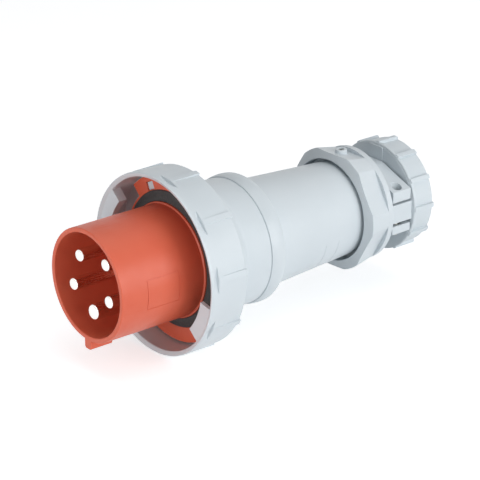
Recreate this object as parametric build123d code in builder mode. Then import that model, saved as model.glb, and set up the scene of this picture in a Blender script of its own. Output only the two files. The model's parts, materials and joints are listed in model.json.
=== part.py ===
from build123d import *
from math import cos, radians, sin, tau
import os

# Industrial pin and sleeve plug, five pins, 63 A size, with bayonet ring and cable gland.
# Millimetres. The plug's axis is X: the sleeve's rim is at x = 0 and the cable leaves towards +X.
# The key of the sleeve points down, to -Z. Angles are seen from the front: 0 is right, 90 is up.

# Sleeve and pins
sleeve_radius = 35.5
sleeve_wall = 3.0
sleeve_reach = 59.5
rim_round = 0.8
mouth_depth = 56.0
web_thickness = 10.0
key_width = 6.5
key_height = 5.8
key_length = 16.0
key_round = 2.0
pitch_radius = 18.5
phase_pin_radius = 4.0
earth_pin_radius = 5.0
pin_setback = 2.5
neutral_setback = 5.5
earth_setback = 4.0
pin_tip_round = 1.5
pin_shank_step = 0.4
pin_collar_radius = 7.2
pin_collar_length = 4.0
barrel_radius = 6.0
barrel_length = 22.0
conductor_radius = 4.2
conductor_depth = 19.0
first_pin_angle = 54.0
pin_names = ["pin_neutral", "pin_phase_1", "pin_phase_2", "pin_earth", "pin_phase_3"]

# Carrier behind the sleeve
base_collar_step = 1.8
base_collar_slope = 0.8
seal_width = 5.8
seal_thickness = 3.9
seal_slope = 1.9
seal_edge_round = 0.6
groove_depth = 1.5
flange_set = 4.5
flange_radius = 52.8
flange_thickness = 4.4
notch_floor_wall = 1.2
notch_spare_angle = 3.0
flange_room = 1.5
spigot_radius = 37.5
spigot_wall = 3.2
spigot_length = 17.6
latch_angles = (116.0, 236.0, 3.0)
latch_width = 6.8
latch_height = 5.3
latch_wall = 0.45
latch_recess = 0.8

# Retainer plate and the small screws inside
plate_thickness = 4.0
plate_screw_radius = 1.75
plate_screw_head = 3.3
plate_screw_head_height = 2.2
plate_screw_grip = 6.0
plate_screw_circle = 26.0
plate_screw_angles = (90.0, 234.0, 306.0)
terminal_screw_radius = 3.0
terminal_screw_stand = 3.0
terminal_screw_first = 8.0
terminal_screw_pitch = 8.0

# Bayonet ring
ring_wall = 3.2
ring_lip = 1.5
ring_lip_step = 0.5
ring_taper = 0.9
ring_mouth_depth = 1.6
lug_lead = 13.7
ring_rear_skirt = 4.1
ring_web_thickness = 3.6
ring_bore_step = 0.5
ring_rear_round = 1.5
rib_count = 10
rib_first_angle = 7.1
rib_width = 3.8
rib_height = 0.9
rib_root = 1.6
rib_setback = 7.5
rib_end = 1.4
lug_angle = 154.0
lug_span = 32.0
lug_thickness = 6.0
lug_root = 1.0
lug_room = 1.15
ring_turn = 40.0
stop_height = 2.2
stop_span = 7.0
stop_spare_angle = 0.6
stop_angle = 60.0

# Housing
shoulder_length = 3.4
shoulder_gap = 0.7
shoulder_cove = 14.0
cove_bow = 2.0
housing_wall = 3.3
barrel_taper = 0.8
groove_station = 33.6
parting_groove = 0.6
bead_rise = 0.5
bead_length = 13.0
bead_shoulder = 15.5
bead_bow = 0.85
bead_drop = 6.9
taper_drop = 2.5
taper_length = 48.5
tail_length = 3.5
neck_step = 3.6
neck_length = 15.5
neck_wall = 4.2
seal_wire_radius = 1.1

# Gland body
collar_gap = 0.9
collar_overhang = 2.1
collar_lip = 0.7
collar_front_slope = 2.2
collar_rise = 6.9
collar_taper = 2.9
collar_length = 15.8
collar_cavity = 8.0
flat_count = 6
first_flat_angle = 30.0
flat_front_depth = 2.9
flat_rear_depth = 3.5
gland_flange_thickness = 4.3
cable_room_step = 1.5
gland_seal_thickness = 2.2
boss_radius = 3.85
boss_height = 3.1
lock_screw_radius = 2.2
lock_screw_recess = 1.0
lock_socket_radius = 1.2
lock_socket_depth = 2.0
web_half_height = 6.3
web_inset = 1.8
web_depth = 12.5
window_length = 17.4
rear_flange_step = 0.6
rear_flange_thickness = 1.5
guide_rib_width = 12.0
guide_rib_height = 0.5
guide_rib_foot = 24.0
thread_radius = 31.0
thread_length = 13.0
bush_chamber_wall = 7.0
bush_lip_depth = 4.0
bush_lip_extra = 0.8

# Strain relief
clamp_length = 16.2
clamp_gap = 1.2
clamp_lower_gap = 1.9
clamp_top = 25.5
clamp_top_half_width = 7.0
clamp_ear_height = 7.3
clamp_lower_ear_height = 5.4
clamp_ear_round = 1.8
jaw_radius = 16.5
clamp_screw_inset = 4.6
clamp_screw_radius = 2.0
clamp_screw_room = 0.4
clamp_head_radius = 3.3
clamp_head_height = 2.8
clamp_hole_radius = 3.55
clamp_seat = 2.2
clamp_nut_flats = 7.0
clamp_nut_height = 3.2
clamp_travel = 3.0
clamp_shank_spare = 1.6
slot_width = 1.0
slot_depth = 1.1

# Bush, washer and gland nut
bush_bore_radius = 13.5
bush_length = 11.0
washer_thickness = 1.5
washer_bore_step = 0.8
nut_wall = 3.5
nut_rim_step = 1.4
nut_rim_length = 1.9
nut_rib_height = 1.5
nut_rib_count = 12
nut_rib_width = 2.6
nut_rib_setback = 0.7
nut_rear_wall = 4.4
nut_bore_radius = 18.5
nut_rear_round = 1.6

# Clearances
running_gap = 0.3
fit_gap = 0.05
seat_gap = 0.2
small_overlap = 1.0

# Places along the axis
web_rear = mouth_depth + web_thickness
flange_front = sleeve_reach + flange_set
flange_rear = flange_front + flange_thickness
spigot_rear = flange_rear + spigot_length
plate_rear = web_rear + plate_thickness
barrel_end = web_rear + barrel_length
ring_web_front = flange_rear + running_gap
ring_web_rear = ring_web_front + ring_web_thickness
ring_rear = ring_web_rear + ring_rear_skirt
lug_front = flange_front - lug_lead
ring_front = lug_front - ring_lip
shoulder_front = ring_web_rear + running_gap
shoulder_rear = shoulder_front + shoulder_length
barrel_front = shoulder_rear + shoulder_cove
bead_front = shoulder_rear + groove_station
bead_rear = bead_front + bead_length
taper_front = bead_rear + bead_shoulder
taper_rear = taper_front + taper_length
tail_rear = taper_rear + tail_length
neck_rear = tail_rear + neck_length
collar_front = tail_rear + collar_gap
hex_front = collar_front + collar_front_slope
hex_rear = hex_front + collar_length
gland_shoulder = neck_rear + gland_seal_thickness
gland_flange_rear = hex_rear + gland_flange_thickness
window_rear = gland_flange_rear + window_length
rear_flange_rear = window_rear + rear_flange_thickness
thread_rear = rear_flange_rear + thread_length
bush_front = rear_flange_rear + bush_lip_extra
bush_rear = bush_front + bush_length
nut_front = rear_flange_rear + seat_gap
washer_front = bush_rear + seat_gap
washer_rear = washer_front + washer_thickness
nut_inner_face = washer_rear + seat_gap
nut_rear = nut_inner_face + nut_rear_wall

# Radii and heights that follow from the sizes above
mouth_radius = sleeve_radius - sleeve_wall
seal_inner = sleeve_radius + base_collar_step
seal_outer = seal_inner + seal_width
groove_floor = flange_front + groove_depth
groove_outer = seal_outer + fit_gap
notch_floor = groove_outer + notch_floor_wall
latch_inner = groove_outer + latch_wall
spigot_inner = spigot_radius - spigot_wall
spigot_bore = spigot_radius + seat_gap
ring_inner = flange_radius + flange_room
ring_front_radius = ring_inner + ring_wall
ring_lip_radius = ring_front_radius - ring_lip_step
ring_rear_radius = ring_front_radius - ring_taper
lug_radius = notch_floor + lug_room
ring_bore_radius = lug_radius + ring_bore_step
drum_radius = ring_bore_radius - running_gap
seal_wire_circle = (spigot_bore + drum_radius) / 2
shoulder_radius = ring_inner - shoulder_gap
barrel_front_radius = spigot_bore + housing_wall
barrel_rear_radius = barrel_front_radius - barrel_taper
bead_radius = barrel_rear_radius + bead_rise
taper_front_radius = bead_radius - bead_drop
taper_rear_radius = taper_front_radius - taper_drop
neck_radius = taper_rear_radius - neck_step
neck_bore = neck_radius - neck_wall
collar_bore = neck_radius + running_gap
collar_mouth_radius = taper_rear_radius + collar_overhang
collar_front_radius = collar_mouth_radius + collar_rise
collar_rear_radius = collar_front_radius - collar_taper
flat_front_height = collar_front_radius - flat_front_depth
flat_rear_height = collar_rear_radius - flat_rear_depth
cable_room_radius = neck_bore - cable_room_step
boss_station = hex_front + collar_length / 2
boss_top = (flat_front_height + flat_rear_height) / 2 + boss_height
thread_bore = thread_radius + running_gap
nut_radius = thread_bore + nut_wall
nut_rim_radius = nut_radius + nut_rim_step
nut_rib_radius = nut_radius + nut_rib_height
rear_flange_radius = nut_radius + rear_flange_step
bush_chamber_radius = thread_radius - bush_chamber_wall
bush_lip_radius = bush_chamber_radius - bush_lip_depth
web_reach = rear_flange_radius - web_inset
clamp_screw_offset = web_reach - clamp_screw_inset
clamp_foot = web_half_height + clamp_gap
clamp_lower_foot = web_half_height + clamp_lower_gap
clamp_seat_height = clamp_foot + clamp_seat
clamp_front = gland_flange_rear + (window_length - guide_rib_height - clamp_length) / 2
clamp_station = clamp_front + clamp_length / 2
clamp_shank_end = clamp_lower_foot + clamp_nut_height + clamp_travel + clamp_shank_spare
clamp_hole = clamp_screw_radius + clamp_screw_room


def front_plane(x):
    """Plane across the axis at x, seen from the front; negative extrusions run to the rear."""
    return Plane(origin=(x, 0, 0), x_dir=(0, -1, 0), z_dir=(-1, 0, 0))


def radial_plane(angle):
    """Plane through the axis at an angle: its x runs along the axis, its y outwards."""
    side = radians(angle)
    return Plane(origin=(0, 0, 0), x_dir=(1, 0, 0), z_dir=(0, -sin(side), -cos(side)))


def spot(radius, angle):
    """Point of the front plane at a radius and an angle."""
    return radius * cos(radians(angle)), radius * sin(radians(angle))


def turned(points, plane=Plane.XZ):
    """Face with straight sides, of (x, radius) points, ready to revolve."""
    with BuildSketch(plane) as face:
        with BuildLine():
            Polyline(*points, close=True)
        make_face()
    return face.sketch


def sector(x, inner, outer, middle, span):
    """Part of a ring across the axis at x, centred on an angle."""
    with BuildSketch(front_plane(x)) as face:
        with BuildLine():
            far = CenterArc((0, 0), outer, middle - span / 2, span)
            near = CenterArc((0, 0), inner, middle - span / 2, span)
            Line(far @ 0, near @ 0)
            Line(far @ 1, near @ 1)
        make_face()
    return face.sketch


def disc(plane, radius, inner=0.0):
    """Round face, with a hole where an inner radius is given."""
    with BuildSketch(plane) as face:
        Circle(radius)
        if inner:
            Circle(inner, mode=Mode.SUBTRACT)
    return face.sketch


def save(node, name):
    """Name a finished piece and write its file."""
    node.part.label = name
    export_step(node.part, f"parts/{name}.step")


os.makedirs("parts", exist_ok=True)

# Contact carrier: sleeve with its key, base collar, seal groove, flange and spigot
pin_angles = [first_pin_angle + 360 / len(pin_names) * i for i in range(len(pin_names))]
pin_radii = [earth_pin_radius if name == "pin_earth" else phase_pin_radius for name in pin_names]
pin_setbacks = {"pin_earth": earth_setback, "pin_neutral": neutral_setback}
screw_stations = [web_rear + terminal_screw_first + terminal_screw_pitch * step for step in range(2)]
lug_angles = (lug_angle, lug_angle + 180)
notch_span = lug_span + 2 * notch_spare_angle

carrier_profile = [
    (0, mouth_radius),
    (0, sleeve_radius),
    (sleeve_reach, sleeve_radius),
    (sleeve_reach + base_collar_slope, seal_inner),
    (groove_floor, seal_inner),
    (groove_floor, groove_outer),
    (flange_front, groove_outer),
    (flange_front, flange_radius),
    (flange_rear, flange_radius),
    (flange_rear, spigot_radius),
    (spigot_rear, spigot_radius),
    (spigot_rear, spigot_inner),
    (web_rear, spigot_inner),
    (web_rear, 0),
    (mouth_depth, 0),
    (mouth_depth, mouth_radius),
]

with BuildPart() as contact_carrier:
    revolve(turned(carrier_profile), axis=Axis.X)
    rim = contact_carrier.edges().filter_by(GeomType.CIRCLE).group_by(Axis.X)[0].sort_by(SortBy.RADIUS)[-1]
    fillet(rim, rim_round)
    with BuildSketch(front_plane(0)) as key_section:
        with Locations((0, -(sleeve_radius - sleeve_wall / 2))):
            Rectangle(key_width, key_height + sleeve_wall / 2, align=(Align.CENTER, Align.MAX))
        fillet(key_section.vertices().group_by(Axis.Z)[0], key_round)
    extrude(amount=-key_length)
    for angle in lug_angles:
        notch = sector(flange_front - small_overlap, notch_floor, flange_radius + small_overlap,
                       angle, notch_span)
        extrude(notch, amount=-(flange_thickness + 2 * small_overlap), mode=Mode.SUBTRACT)
    for angle in latch_angles:
        with BuildSketch(front_plane(flange_front)):
            with PolarLocations(latch_inner + latch_height / 2, 1, start_angle=angle):
                Rectangle(latch_height, latch_width)
        extrude(amount=-flange_thickness, mode=Mode.SUBTRACT)
    for angle, radius in zip(pin_angles, pin_radii):
        with BuildSketch(front_plane(mouth_depth)):
            with Locations(spot(pitch_radius, angle)):
                Circle(radius + pin_shank_step + fit_gap)
        extrude(amount=-web_thickness, mode=Mode.SUBTRACT)
    with BuildSketch(front_plane(web_rear)):
        with PolarLocations(pitch_radius, len(pin_names), start_angle=first_pin_angle):
            Circle(pin_collar_radius + fit_gap)
    extrude(amount=pin_collar_length, mode=Mode.SUBTRACT)
    for angle in plate_screw_angles:
        with BuildSketch(front_plane(web_rear)):
            with Locations(spot(plate_screw_circle, angle)):
                Circle(plate_screw_radius + fit_gap)
        extrude(amount=plate_screw_grip, mode=Mode.SUBTRACT)
save(contact_carrier, "contact_carrier")

# Contact pins, each with a collar and a terminal barrel for the conductor
for name, angle, radius in zip(pin_names, pin_angles, pin_radii):
    across, up = spot(pitch_radius, angle)
    pin_axis = Axis((0, -across, up), (1, 0, 0))
    pin_plane = Plane(origin=(0, -across, up), x_dir=(1, 0, 0), z_dir=(0, -1, 0))
    tip = pin_setbacks.get(name, pin_setback)
    pin_profile = [
        (tip, 0),
        (tip, radius),
        (mouth_depth, radius),
        (mouth_depth, radius + pin_shank_step),
        (web_rear - pin_collar_length, radius + pin_shank_step),
        (web_rear - pin_collar_length, pin_collar_radius),
        (web_rear, pin_collar_radius),
        (web_rear, barrel_radius),
        (barrel_end, barrel_radius),
        (barrel_end, conductor_radius),
        (barrel_end - conductor_depth, conductor_radius),
        (barrel_end - conductor_depth, 0),
    ]
    with BuildPart() as pin:
        revolve(turned(pin_profile, pin_plane), axis=pin_axis)
        tip_edge = pin.edges().filter_by(GeomType.CIRCLE).group_by(Axis.X)[0]
        fillet(tip_edge, pin_tip_round)
        for station in screw_stations:
            outward = Plane(origin=(station, -across, up), z_dir=(0, -across, up))
            hole = disc(outward, terminal_screw_radius + fit_gap)
            extrude(hole, amount=barrel_radius + small_overlap, mode=Mode.SUBTRACT)
    save(pin, name)

# Terminal screws, two in each barrel, pressing the conductor from outside
with BuildPart() as terminal_screws:
    for angle in pin_angles:
        across, up = spot(pitch_radius, angle)
        for station in screw_stations:
            outward = Plane(origin=(station, -across, up), z_dir=(0, -across, up))
            screw_length = barrel_radius + terminal_screw_stand - conductor_radius
            extrude(disc(outward.offset(conductor_radius), terminal_screw_radius), amount=screw_length)
save(terminal_screws, "terminal_screws")

# Plate that holds the pins' collars in the carrier
with BuildPart() as pin_retainer:
    extrude(disc(front_plane(web_rear), spigot_inner - seat_gap), amount=-plate_thickness)
    with BuildSketch(front_plane(web_rear)):
        with PolarLocations(pitch_radius, len(pin_names), start_angle=first_pin_angle):
            Circle(barrel_radius + fit_gap)
        for angle in plate_screw_angles:
            with Locations(spot(plate_screw_circle, angle)):
                Circle(plate_screw_radius + fit_gap)
    extrude(amount=-plate_thickness, mode=Mode.SUBTRACT)
save(pin_retainer, "pin_retainer")

with BuildPart() as retainer_screws:
    for angle in plate_screw_angles:
        with BuildSketch(front_plane(plate_rear)):
            with Locations(spot(plate_screw_circle, angle)):
                Circle(plate_screw_head)
        extrude(amount=-plate_screw_head_height)
        with BuildSketch(front_plane(plate_rear)):
            with Locations(spot(plate_screw_circle, angle)):
                Circle(plate_screw_radius)
        extrude(amount=plate_thickness + plate_screw_grip)
save(retainer_screws, "retainer_screws")

# Rubber ring in front of the flange, thicker towards the sleeve
front_seal_profile = [
    (groove_floor, seal_inner + fit_gap),
    (groove_floor - seal_thickness, seal_inner + fit_gap),
    (groove_floor - seal_thickness + seal_slope, seal_outer),
    (groove_floor, seal_outer),
]
with BuildPart() as front_seal:
    revolve(turned(front_seal_profile), axis=Axis.X)
    lip_edges = front_seal.edges().filter_by(GeomType.CIRCLE).group_by(Axis.X)
    fillet(lip_edges[0] + lip_edges[1], seal_edge_round)
save(front_seal, "front_seal")

# Wire ring between the flange and the housing's drum
with BuildPart() as carrier_seal:
    with BuildSketch(Plane.XZ):
        with Locations((flange_rear + seal_wire_radius, seal_wire_circle)):
            Circle(seal_wire_radius)
    revolve(axis=Axis.X)
save(carrier_seal, "carrier_seal")

# Bayonet ring: lip, barrel with ribs, inner web that runs on the drum, two lugs
rib_angles = [rib_first_angle + 360 / rib_count * i for i in range(rib_count)]
rib_span = 360 * rib_width / (tau * ring_front_radius)
rib_front = ring_front + rib_setback
rib_rear = ring_rear - rib_end


def ring_radius(x):
    """Outer radius of the ring's tapering barrel at x."""
    share = (x - ring_front - ring_lip) / (ring_rear - ring_front - ring_lip)
    return ring_front_radius - ring_taper * share


rib_profile = [
    (rib_front, ring_radius(rib_front) - rib_root),
    (rib_front, ring_radius(rib_front) + rib_height),
    (rib_rear, ring_radius(rib_rear) + rib_height),
    (rib_rear, ring_radius(rib_rear) - rib_root),
]
ring_profile = [
    (ring_front, ring_lip_radius),
    (ring_front + ring_lip, ring_front_radius),
    (ring_rear, ring_rear_radius),
    (ring_rear, ring_inner),
    (ring_web_rear, ring_inner),
    (ring_web_rear, ring_bore_radius),
    (ring_web_front, ring_bore_radius),
    (ring_web_front, ring_inner),
    (ring_front + ring_mouth_depth, ring_inner),
]

with BuildPart() as bayonet_ring:
    revolve(turned(ring_profile), axis=Axis.X)
    rear_edge = bayonet_ring.edges().filter_by(GeomType.CIRCLE).group_by(Axis.X)[-1].sort_by(SortBy.RADIUS)[-1]
    fillet(rear_edge, ring_rear_round)
    for angle in rib_angles:
        revolve(turned(rib_profile, radial_plane(angle + rib_span / 2)), axis=Axis.X, revolution_arc=rib_span)
    for angle in lug_angles:
        lug = sector(lug_front, lug_radius, ring_inner + lug_root, angle, lug_span)
        extrude(lug, amount=-lug_thickness)
    stop_room_span = ring_turn + 2 * stop_spare_angle + stop_span
    stop_room = sector(ring_web_front, ring_bore_radius - small_overlap, drum_radius + stop_height + running_gap,
                       stop_angle - ring_turn / 2, stop_room_span)
    extrude(stop_room, amount=-ring_web_thickness, mode=Mode.SUBTRACT)
save(bayonet_ring, "bayonet_ring")

# Housing: drum for the ring, shoulder, cove, barrel, bead, taper and threaded neck
cove_middle = ((shoulder_rear + barrel_front) / 2, (shoulder_radius + barrel_front_radius) / 2 - cove_bow)
bead_middle = ((bead_rear + taper_front) / 2, (bead_radius + taper_front_radius) / 2 + bead_bow)
tail_middle = (
    taper_rear + tail_length * sin(radians(45)),
    neck_radius + (taper_rear_radius - neck_radius) * cos(radians(45)),
)
wire_groove_inner = seal_wire_circle - seal_wire_radius - fit_gap
wire_groove_outer = seal_wire_circle + seal_wire_radius + fit_gap
wire_groove_rear = flange_rear + 2 * seal_wire_radius

with BuildPart() as housing:
    with BuildSketch(Plane.XZ):
        with BuildLine():
            front = Polyline(
                (flange_rear, spigot_bore),
                (flange_rear, wire_groove_inner),
                (wire_groove_rear, wire_groove_inner),
                (wire_groove_rear, wire_groove_outer),
                (flange_rear, wire_groove_outer),
                (flange_rear, drum_radius),
                (shoulder_front, drum_radius),
                (shoulder_front, shoulder_radius),
                (shoulder_rear, shoulder_radius),
            )
            cove = ThreePointArc(front @ 1, cove_middle, (barrel_front, barrel_front_radius))
            barrel = Polyline(
                cove @ 1,
                (bead_front, barrel_rear_radius),
                (bead_front, barrel_rear_radius - parting_groove),
                (bead_front + parting_groove, barrel_rear_radius - parting_groove),
                (bead_front + parting_groove, bead_radius),
                (bead_rear, bead_radius),
            )
            shoulder = ThreePointArc(barrel @ 1, bead_middle, (taper_front, taper_front_radius))
            taper = Line(shoulder @ 1, (taper_rear, taper_rear_radius))
            tail = ThreePointArc(taper @ 1, tail_middle, (tail_rear, neck_radius))
            Polyline(
                tail @ 1,
                (neck_rear, neck_radius),
                (neck_rear, neck_bore),
                (taper_rear, neck_bore),
                (taper_rear - housing_wall, taper_rear_radius - housing_wall),
                (taper_front, taper_front_radius - housing_wall),
                (bead_rear - housing_wall, barrel_rear_radius - housing_wall),
                (spigot_rear + seat_gap, spigot_bore),
                (flange_rear, spigot_bore),
            )
        make_face()
    revolve(axis=Axis.X)
    stop = sector(ring_web_front, drum_radius - small_overlap, drum_radius + stop_height, stop_angle, stop_span)
    extrude(stop, amount=-(shoulder_front - ring_web_front))
    for angle in latch_angles:
        with BuildSketch(front_plane(flange_rear)):
            with PolarLocations(latch_inner + latch_height / 2, 1, start_angle=angle):
                Rectangle(latch_height - 2 * seat_gap, latch_width - 2 * seat_gap)
        extrude(amount=flange_thickness - latch_recess)
save(housing, "housing")

# Flat sealing ring between the housing's neck and the gland body
with BuildPart() as gland_seal:
    extrude(disc(front_plane(neck_rear), collar_bore - seat_gap, cable_room_radius + seat_gap),
            amount=-gland_seal_thickness)
save(gland_seal, "gland_seal")


def flat_height(x):
    """Distance of a wrench flat from the axis at x, on the collar's taper."""
    share = (x - hex_front) / collar_length
    return flat_front_height + (flat_rear_height - flat_front_height) * share


# Gland body: six-sided collar with a screw boss, flange, two side webs, rear flange and thread ring
collar_profile = [
    (collar_front, collar_mouth_radius),
    (collar_front, collar_mouth_radius + collar_lip),
    (hex_front, collar_front_radius),
    (hex_rear, collar_rear_radius),
    (gland_flange_rear, collar_rear_radius),
    (gland_flange_rear, cable_room_radius),
    (gland_shoulder, cable_room_radius),
    (gland_shoulder, collar_bore),
    (collar_front + collar_cavity, collar_bore),
    (collar_front + collar_cavity, collar_mouth_radius),
]
thread_profile = [
    (window_rear, bush_lip_radius),
    (window_rear, rear_flange_radius),
    (rear_flange_rear, rear_flange_radius),
    (rear_flange_rear, thread_radius),
    (thread_rear, thread_radius),
    (thread_rear, bush_chamber_radius),
    (bush_front, bush_chamber_radius),
    (bush_front, bush_lip_radius),
]
cut_front = collar_front - small_overlap
cut_top = collar_front_radius + small_overlap
flat_cut = [
    (cut_front, flat_height(cut_front)),
    (hex_rear, flat_height(hex_rear)),
    (hex_rear, cut_top),
    (cut_front, cut_top),
]
screw_spots = [(clamp_station, side * clamp_screw_offset) for side in (1, -1)]

with BuildPart() as gland_body:
    revolve(turned(collar_profile), axis=Axis.X)
    for flat in range(flat_count):
        flat_angle = first_flat_angle + 360 / flat_count * flat
        extrude(turned(flat_cut, radial_plane(flat_angle)),
                amount=collar_front_radius, both=True, mode=Mode.SUBTRACT)
    with BuildSketch(Plane.XY.offset(collar_bore + small_overlap)):
        with Locations((boss_station, 0)):
            Circle(boss_radius)
    extrude(amount=boss_top - collar_bore - small_overlap)
    with BuildSketch(Plane.XY.offset(neck_radius)):
        with Locations((boss_station, 0)):
            Circle(lock_screw_radius + fit_gap)
    extrude(amount=boss_top - neck_radius, mode=Mode.SUBTRACT)
    revolve(turned(thread_profile), axis=Axis.X)
    with BuildSketch(front_plane(gland_flange_rear)):
        for side in (1, -1):
            with Locations((side * (web_reach - web_depth / 2), 0)):
                Rectangle(web_depth, 2 * web_half_height)
    extrude(amount=-window_length)
    for side in (1, -1):
        with BuildSketch(front_plane(window_rear)):
            with Locations((0, side * (guide_rib_foot + rear_flange_radius) / 2)):
                Rectangle(guide_rib_width, rear_flange_radius - guide_rib_foot - small_overlap)
        extrude(amount=guide_rib_height)
    with BuildSketch(Plane.XY.offset(-web_half_height)):
        with Locations(*screw_spots):
            Circle(clamp_hole)
    extrude(amount=2 * web_half_height, mode=Mode.SUBTRACT)
save(gland_body, "gland_body")

# Set screw in the boss, pressing on the neck so that the gland can't work loose
with BuildPart() as lock_screw:
    with BuildSketch(Plane.XY.offset(neck_radius + fit_gap)):
        with Locations((boss_station, 0)):
            Circle(lock_screw_radius)
    extrude(amount=boss_top - lock_screw_recess - neck_radius - fit_gap)
    with BuildSketch(Plane.XY.offset(boss_top - lock_screw_recess)):
        with Locations((boss_station, 0)):
            RegularPolygon(lock_socket_radius, 6)
    extrude(amount=-lock_socket_depth, mode=Mode.SUBTRACT)
save(lock_screw, "lock_screw")


def clamp_outline(side, foot, ear_height):
    """Section of a strain relief half: roof, ear ends and the round jaw. Side is 1 above, -1 below."""
    jaw_edge = (jaw_radius ** 2 - foot ** 2) ** 0.5
    ear_top = foot + ear_height
    with BuildSketch(front_plane(clamp_front)) as outline:
        with BuildLine():
            ThreePointArc(
                (jaw_edge, side * foot),
                (0, side * jaw_radius),
                (-jaw_edge, side * foot),
            )
            Polyline(
                (-jaw_edge, side * foot),
                (-web_reach, side * foot),
                (-web_reach, side * ear_top),
                (-clamp_top_half_width, side * clamp_top),
                (clamp_top_half_width, side * clamp_top),
                (web_reach, side * ear_top),
                (web_reach, side * foot),
                (jaw_edge, side * foot),
            )
        make_face()
    return outline.sketch


# Upper strain relief half, with deep holes for the screw heads
with BuildPart() as clamp_upper:
    extrude(clamp_outline(1, clamp_foot, clamp_ear_height), amount=-clamp_length)
    fillet(clamp_upper.edges().filter_by(Axis.Z), clamp_ear_round)
    with BuildSketch(Plane.XY.offset(clamp_foot)):
        with Locations(*screw_spots):
            Circle(clamp_hole)
    extrude(amount=clamp_seat, mode=Mode.SUBTRACT)
    with BuildSketch(Plane.XY.offset(clamp_seat_height)):
        with Locations(*screw_spots):
            Circle(clamp_hole_radius)
    extrude(amount=clamp_top - clamp_seat_height, mode=Mode.SUBTRACT)
save(clamp_upper, "clamp_upper")

# Lower half, with pockets that keep the nuts from turning
with BuildPart() as clamp_lower:
    extrude(clamp_outline(-1, clamp_lower_foot, clamp_lower_ear_height), amount=-clamp_length)
    fillet(clamp_lower.edges().filter_by(Axis.Z), clamp_ear_round)
    with BuildSketch(Plane.XY.offset(-clamp_lower_foot)):
        with Locations(*screw_spots):
            RegularPolygon(clamp_nut_flats / 2 + fit_gap, 6, major_radius=False)
    extrude(amount=-clamp_nut_height, mode=Mode.SUBTRACT)
    with BuildSketch(Plane.XY.offset(-clamp_lower_foot)):
        with Locations(*screw_spots):
            Circle(clamp_hole)
    extrude(amount=-(clamp_top - clamp_lower_foot), mode=Mode.SUBTRACT)
save(clamp_lower, "clamp_lower")

# Clamp screws through both ears and the side webs
with BuildPart() as clamp_screws:
    with BuildSketch(Plane.XY.offset(clamp_seat_height)):
        with Locations(*screw_spots):
            Circle(clamp_head_radius)
    extrude(amount=clamp_head_height)
    with BuildSketch(Plane.XY.offset(clamp_seat_height)):
        with Locations(*screw_spots):
            Circle(clamp_screw_radius)
    extrude(amount=-(clamp_seat_height + clamp_shank_end))
    with BuildSketch(Plane.XY.offset(clamp_seat_height + clamp_head_height)):
        with Locations(*screw_spots):
            Rectangle(2 * clamp_head_radius, slot_width)
    extrude(amount=-slot_depth, mode=Mode.SUBTRACT)
save(clamp_screws, "clamp_screws")

with BuildPart() as clamp_nuts:
    with BuildSketch(Plane.XY.offset(-clamp_lower_foot)):
        with Locations(*screw_spots):
            RegularPolygon(clamp_nut_flats / 2, 6, major_radius=False)
            Circle(clamp_screw_radius + fit_gap, mode=Mode.SUBTRACT)
    extrude(amount=-clamp_nut_height)
save(clamp_nuts, "clamp_nuts")

# Rubber bush that grips the cable when the nut presses the washer on it
with BuildPart() as sealing_bush:
    extrude(disc(front_plane(bush_front), bush_chamber_radius - fit_gap, bush_bore_radius), amount=-bush_length)
save(sealing_bush, "sealing_bush")

with BuildPart() as thrust_washer:
    extrude(disc(front_plane(washer_front), bush_chamber_radius - running_gap, nut_bore_radius + washer_bore_step),
            amount=-washer_thickness)
save(thrust_washer, "thrust_washer")

# Gland nut: rim, ribbed barrel and rear wall with the cable's hole
nut_profile = [
    (nut_front, thread_bore),
    (nut_front, nut_rim_radius),
    (nut_front + nut_rim_length, nut_rim_radius),
    (nut_front + nut_rim_length, nut_radius),
    (nut_rear, nut_radius),
    (nut_rear, nut_bore_radius),
    (nut_inner_face, nut_bore_radius),
    (nut_inner_face, thread_bore),
]
with BuildPart() as gland_nut:
    revolve(turned(nut_profile), axis=Axis.X)
    rear_edge = gland_nut.edges().filter_by(GeomType.CIRCLE).group_by(Axis.X)[-1].sort_by(SortBy.RADIUS)[-1]
    fillet(rear_edge, nut_rear_round)
    rib_start = nut_front + nut_rim_length
    for rib in range(nut_rib_count):
        nut_rib = sector(rib_start, (thread_bore + nut_radius) / 2, nut_rib_radius,
                         360 / nut_rib_count * rib, 360 * nut_rib_width / (tau * nut_rib_radius))
        extrude(nut_rib, amount=-(nut_rear - nut_rib_setback - rib_start))
save(gland_nut, "gland_nut")
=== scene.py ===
"""Looks of a five pin industrial plug with a bayonet ring and a cable gland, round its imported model."""

import json
import logging
from collections.abc import Callable, Iterable
from dataclasses import dataclass
from enum import Enum
from math import cos, radians, sin, tau

import bmesh
import bpy
from mathutils import Matrix, Vector

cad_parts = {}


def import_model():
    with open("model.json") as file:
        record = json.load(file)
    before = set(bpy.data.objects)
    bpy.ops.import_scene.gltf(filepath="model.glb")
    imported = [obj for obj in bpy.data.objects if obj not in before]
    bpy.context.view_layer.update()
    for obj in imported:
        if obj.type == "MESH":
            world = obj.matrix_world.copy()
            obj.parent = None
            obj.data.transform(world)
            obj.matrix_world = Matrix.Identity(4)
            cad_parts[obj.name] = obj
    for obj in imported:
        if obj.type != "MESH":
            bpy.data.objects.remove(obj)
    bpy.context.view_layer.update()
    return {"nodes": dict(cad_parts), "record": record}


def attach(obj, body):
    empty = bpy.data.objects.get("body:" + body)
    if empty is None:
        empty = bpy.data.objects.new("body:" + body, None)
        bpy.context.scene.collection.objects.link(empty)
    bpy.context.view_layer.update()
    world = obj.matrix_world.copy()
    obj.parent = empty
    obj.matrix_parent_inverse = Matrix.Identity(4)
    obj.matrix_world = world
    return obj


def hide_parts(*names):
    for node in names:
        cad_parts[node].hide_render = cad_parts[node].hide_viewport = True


MM = 0.001
FULL_TURN = 360.0
OVERRUN = 1.0
EDGE_ANGLE = 40.0
SHARP_ANGLE = 30.0
SHADING_WEIGHT = 80
SIDES = 6
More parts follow.
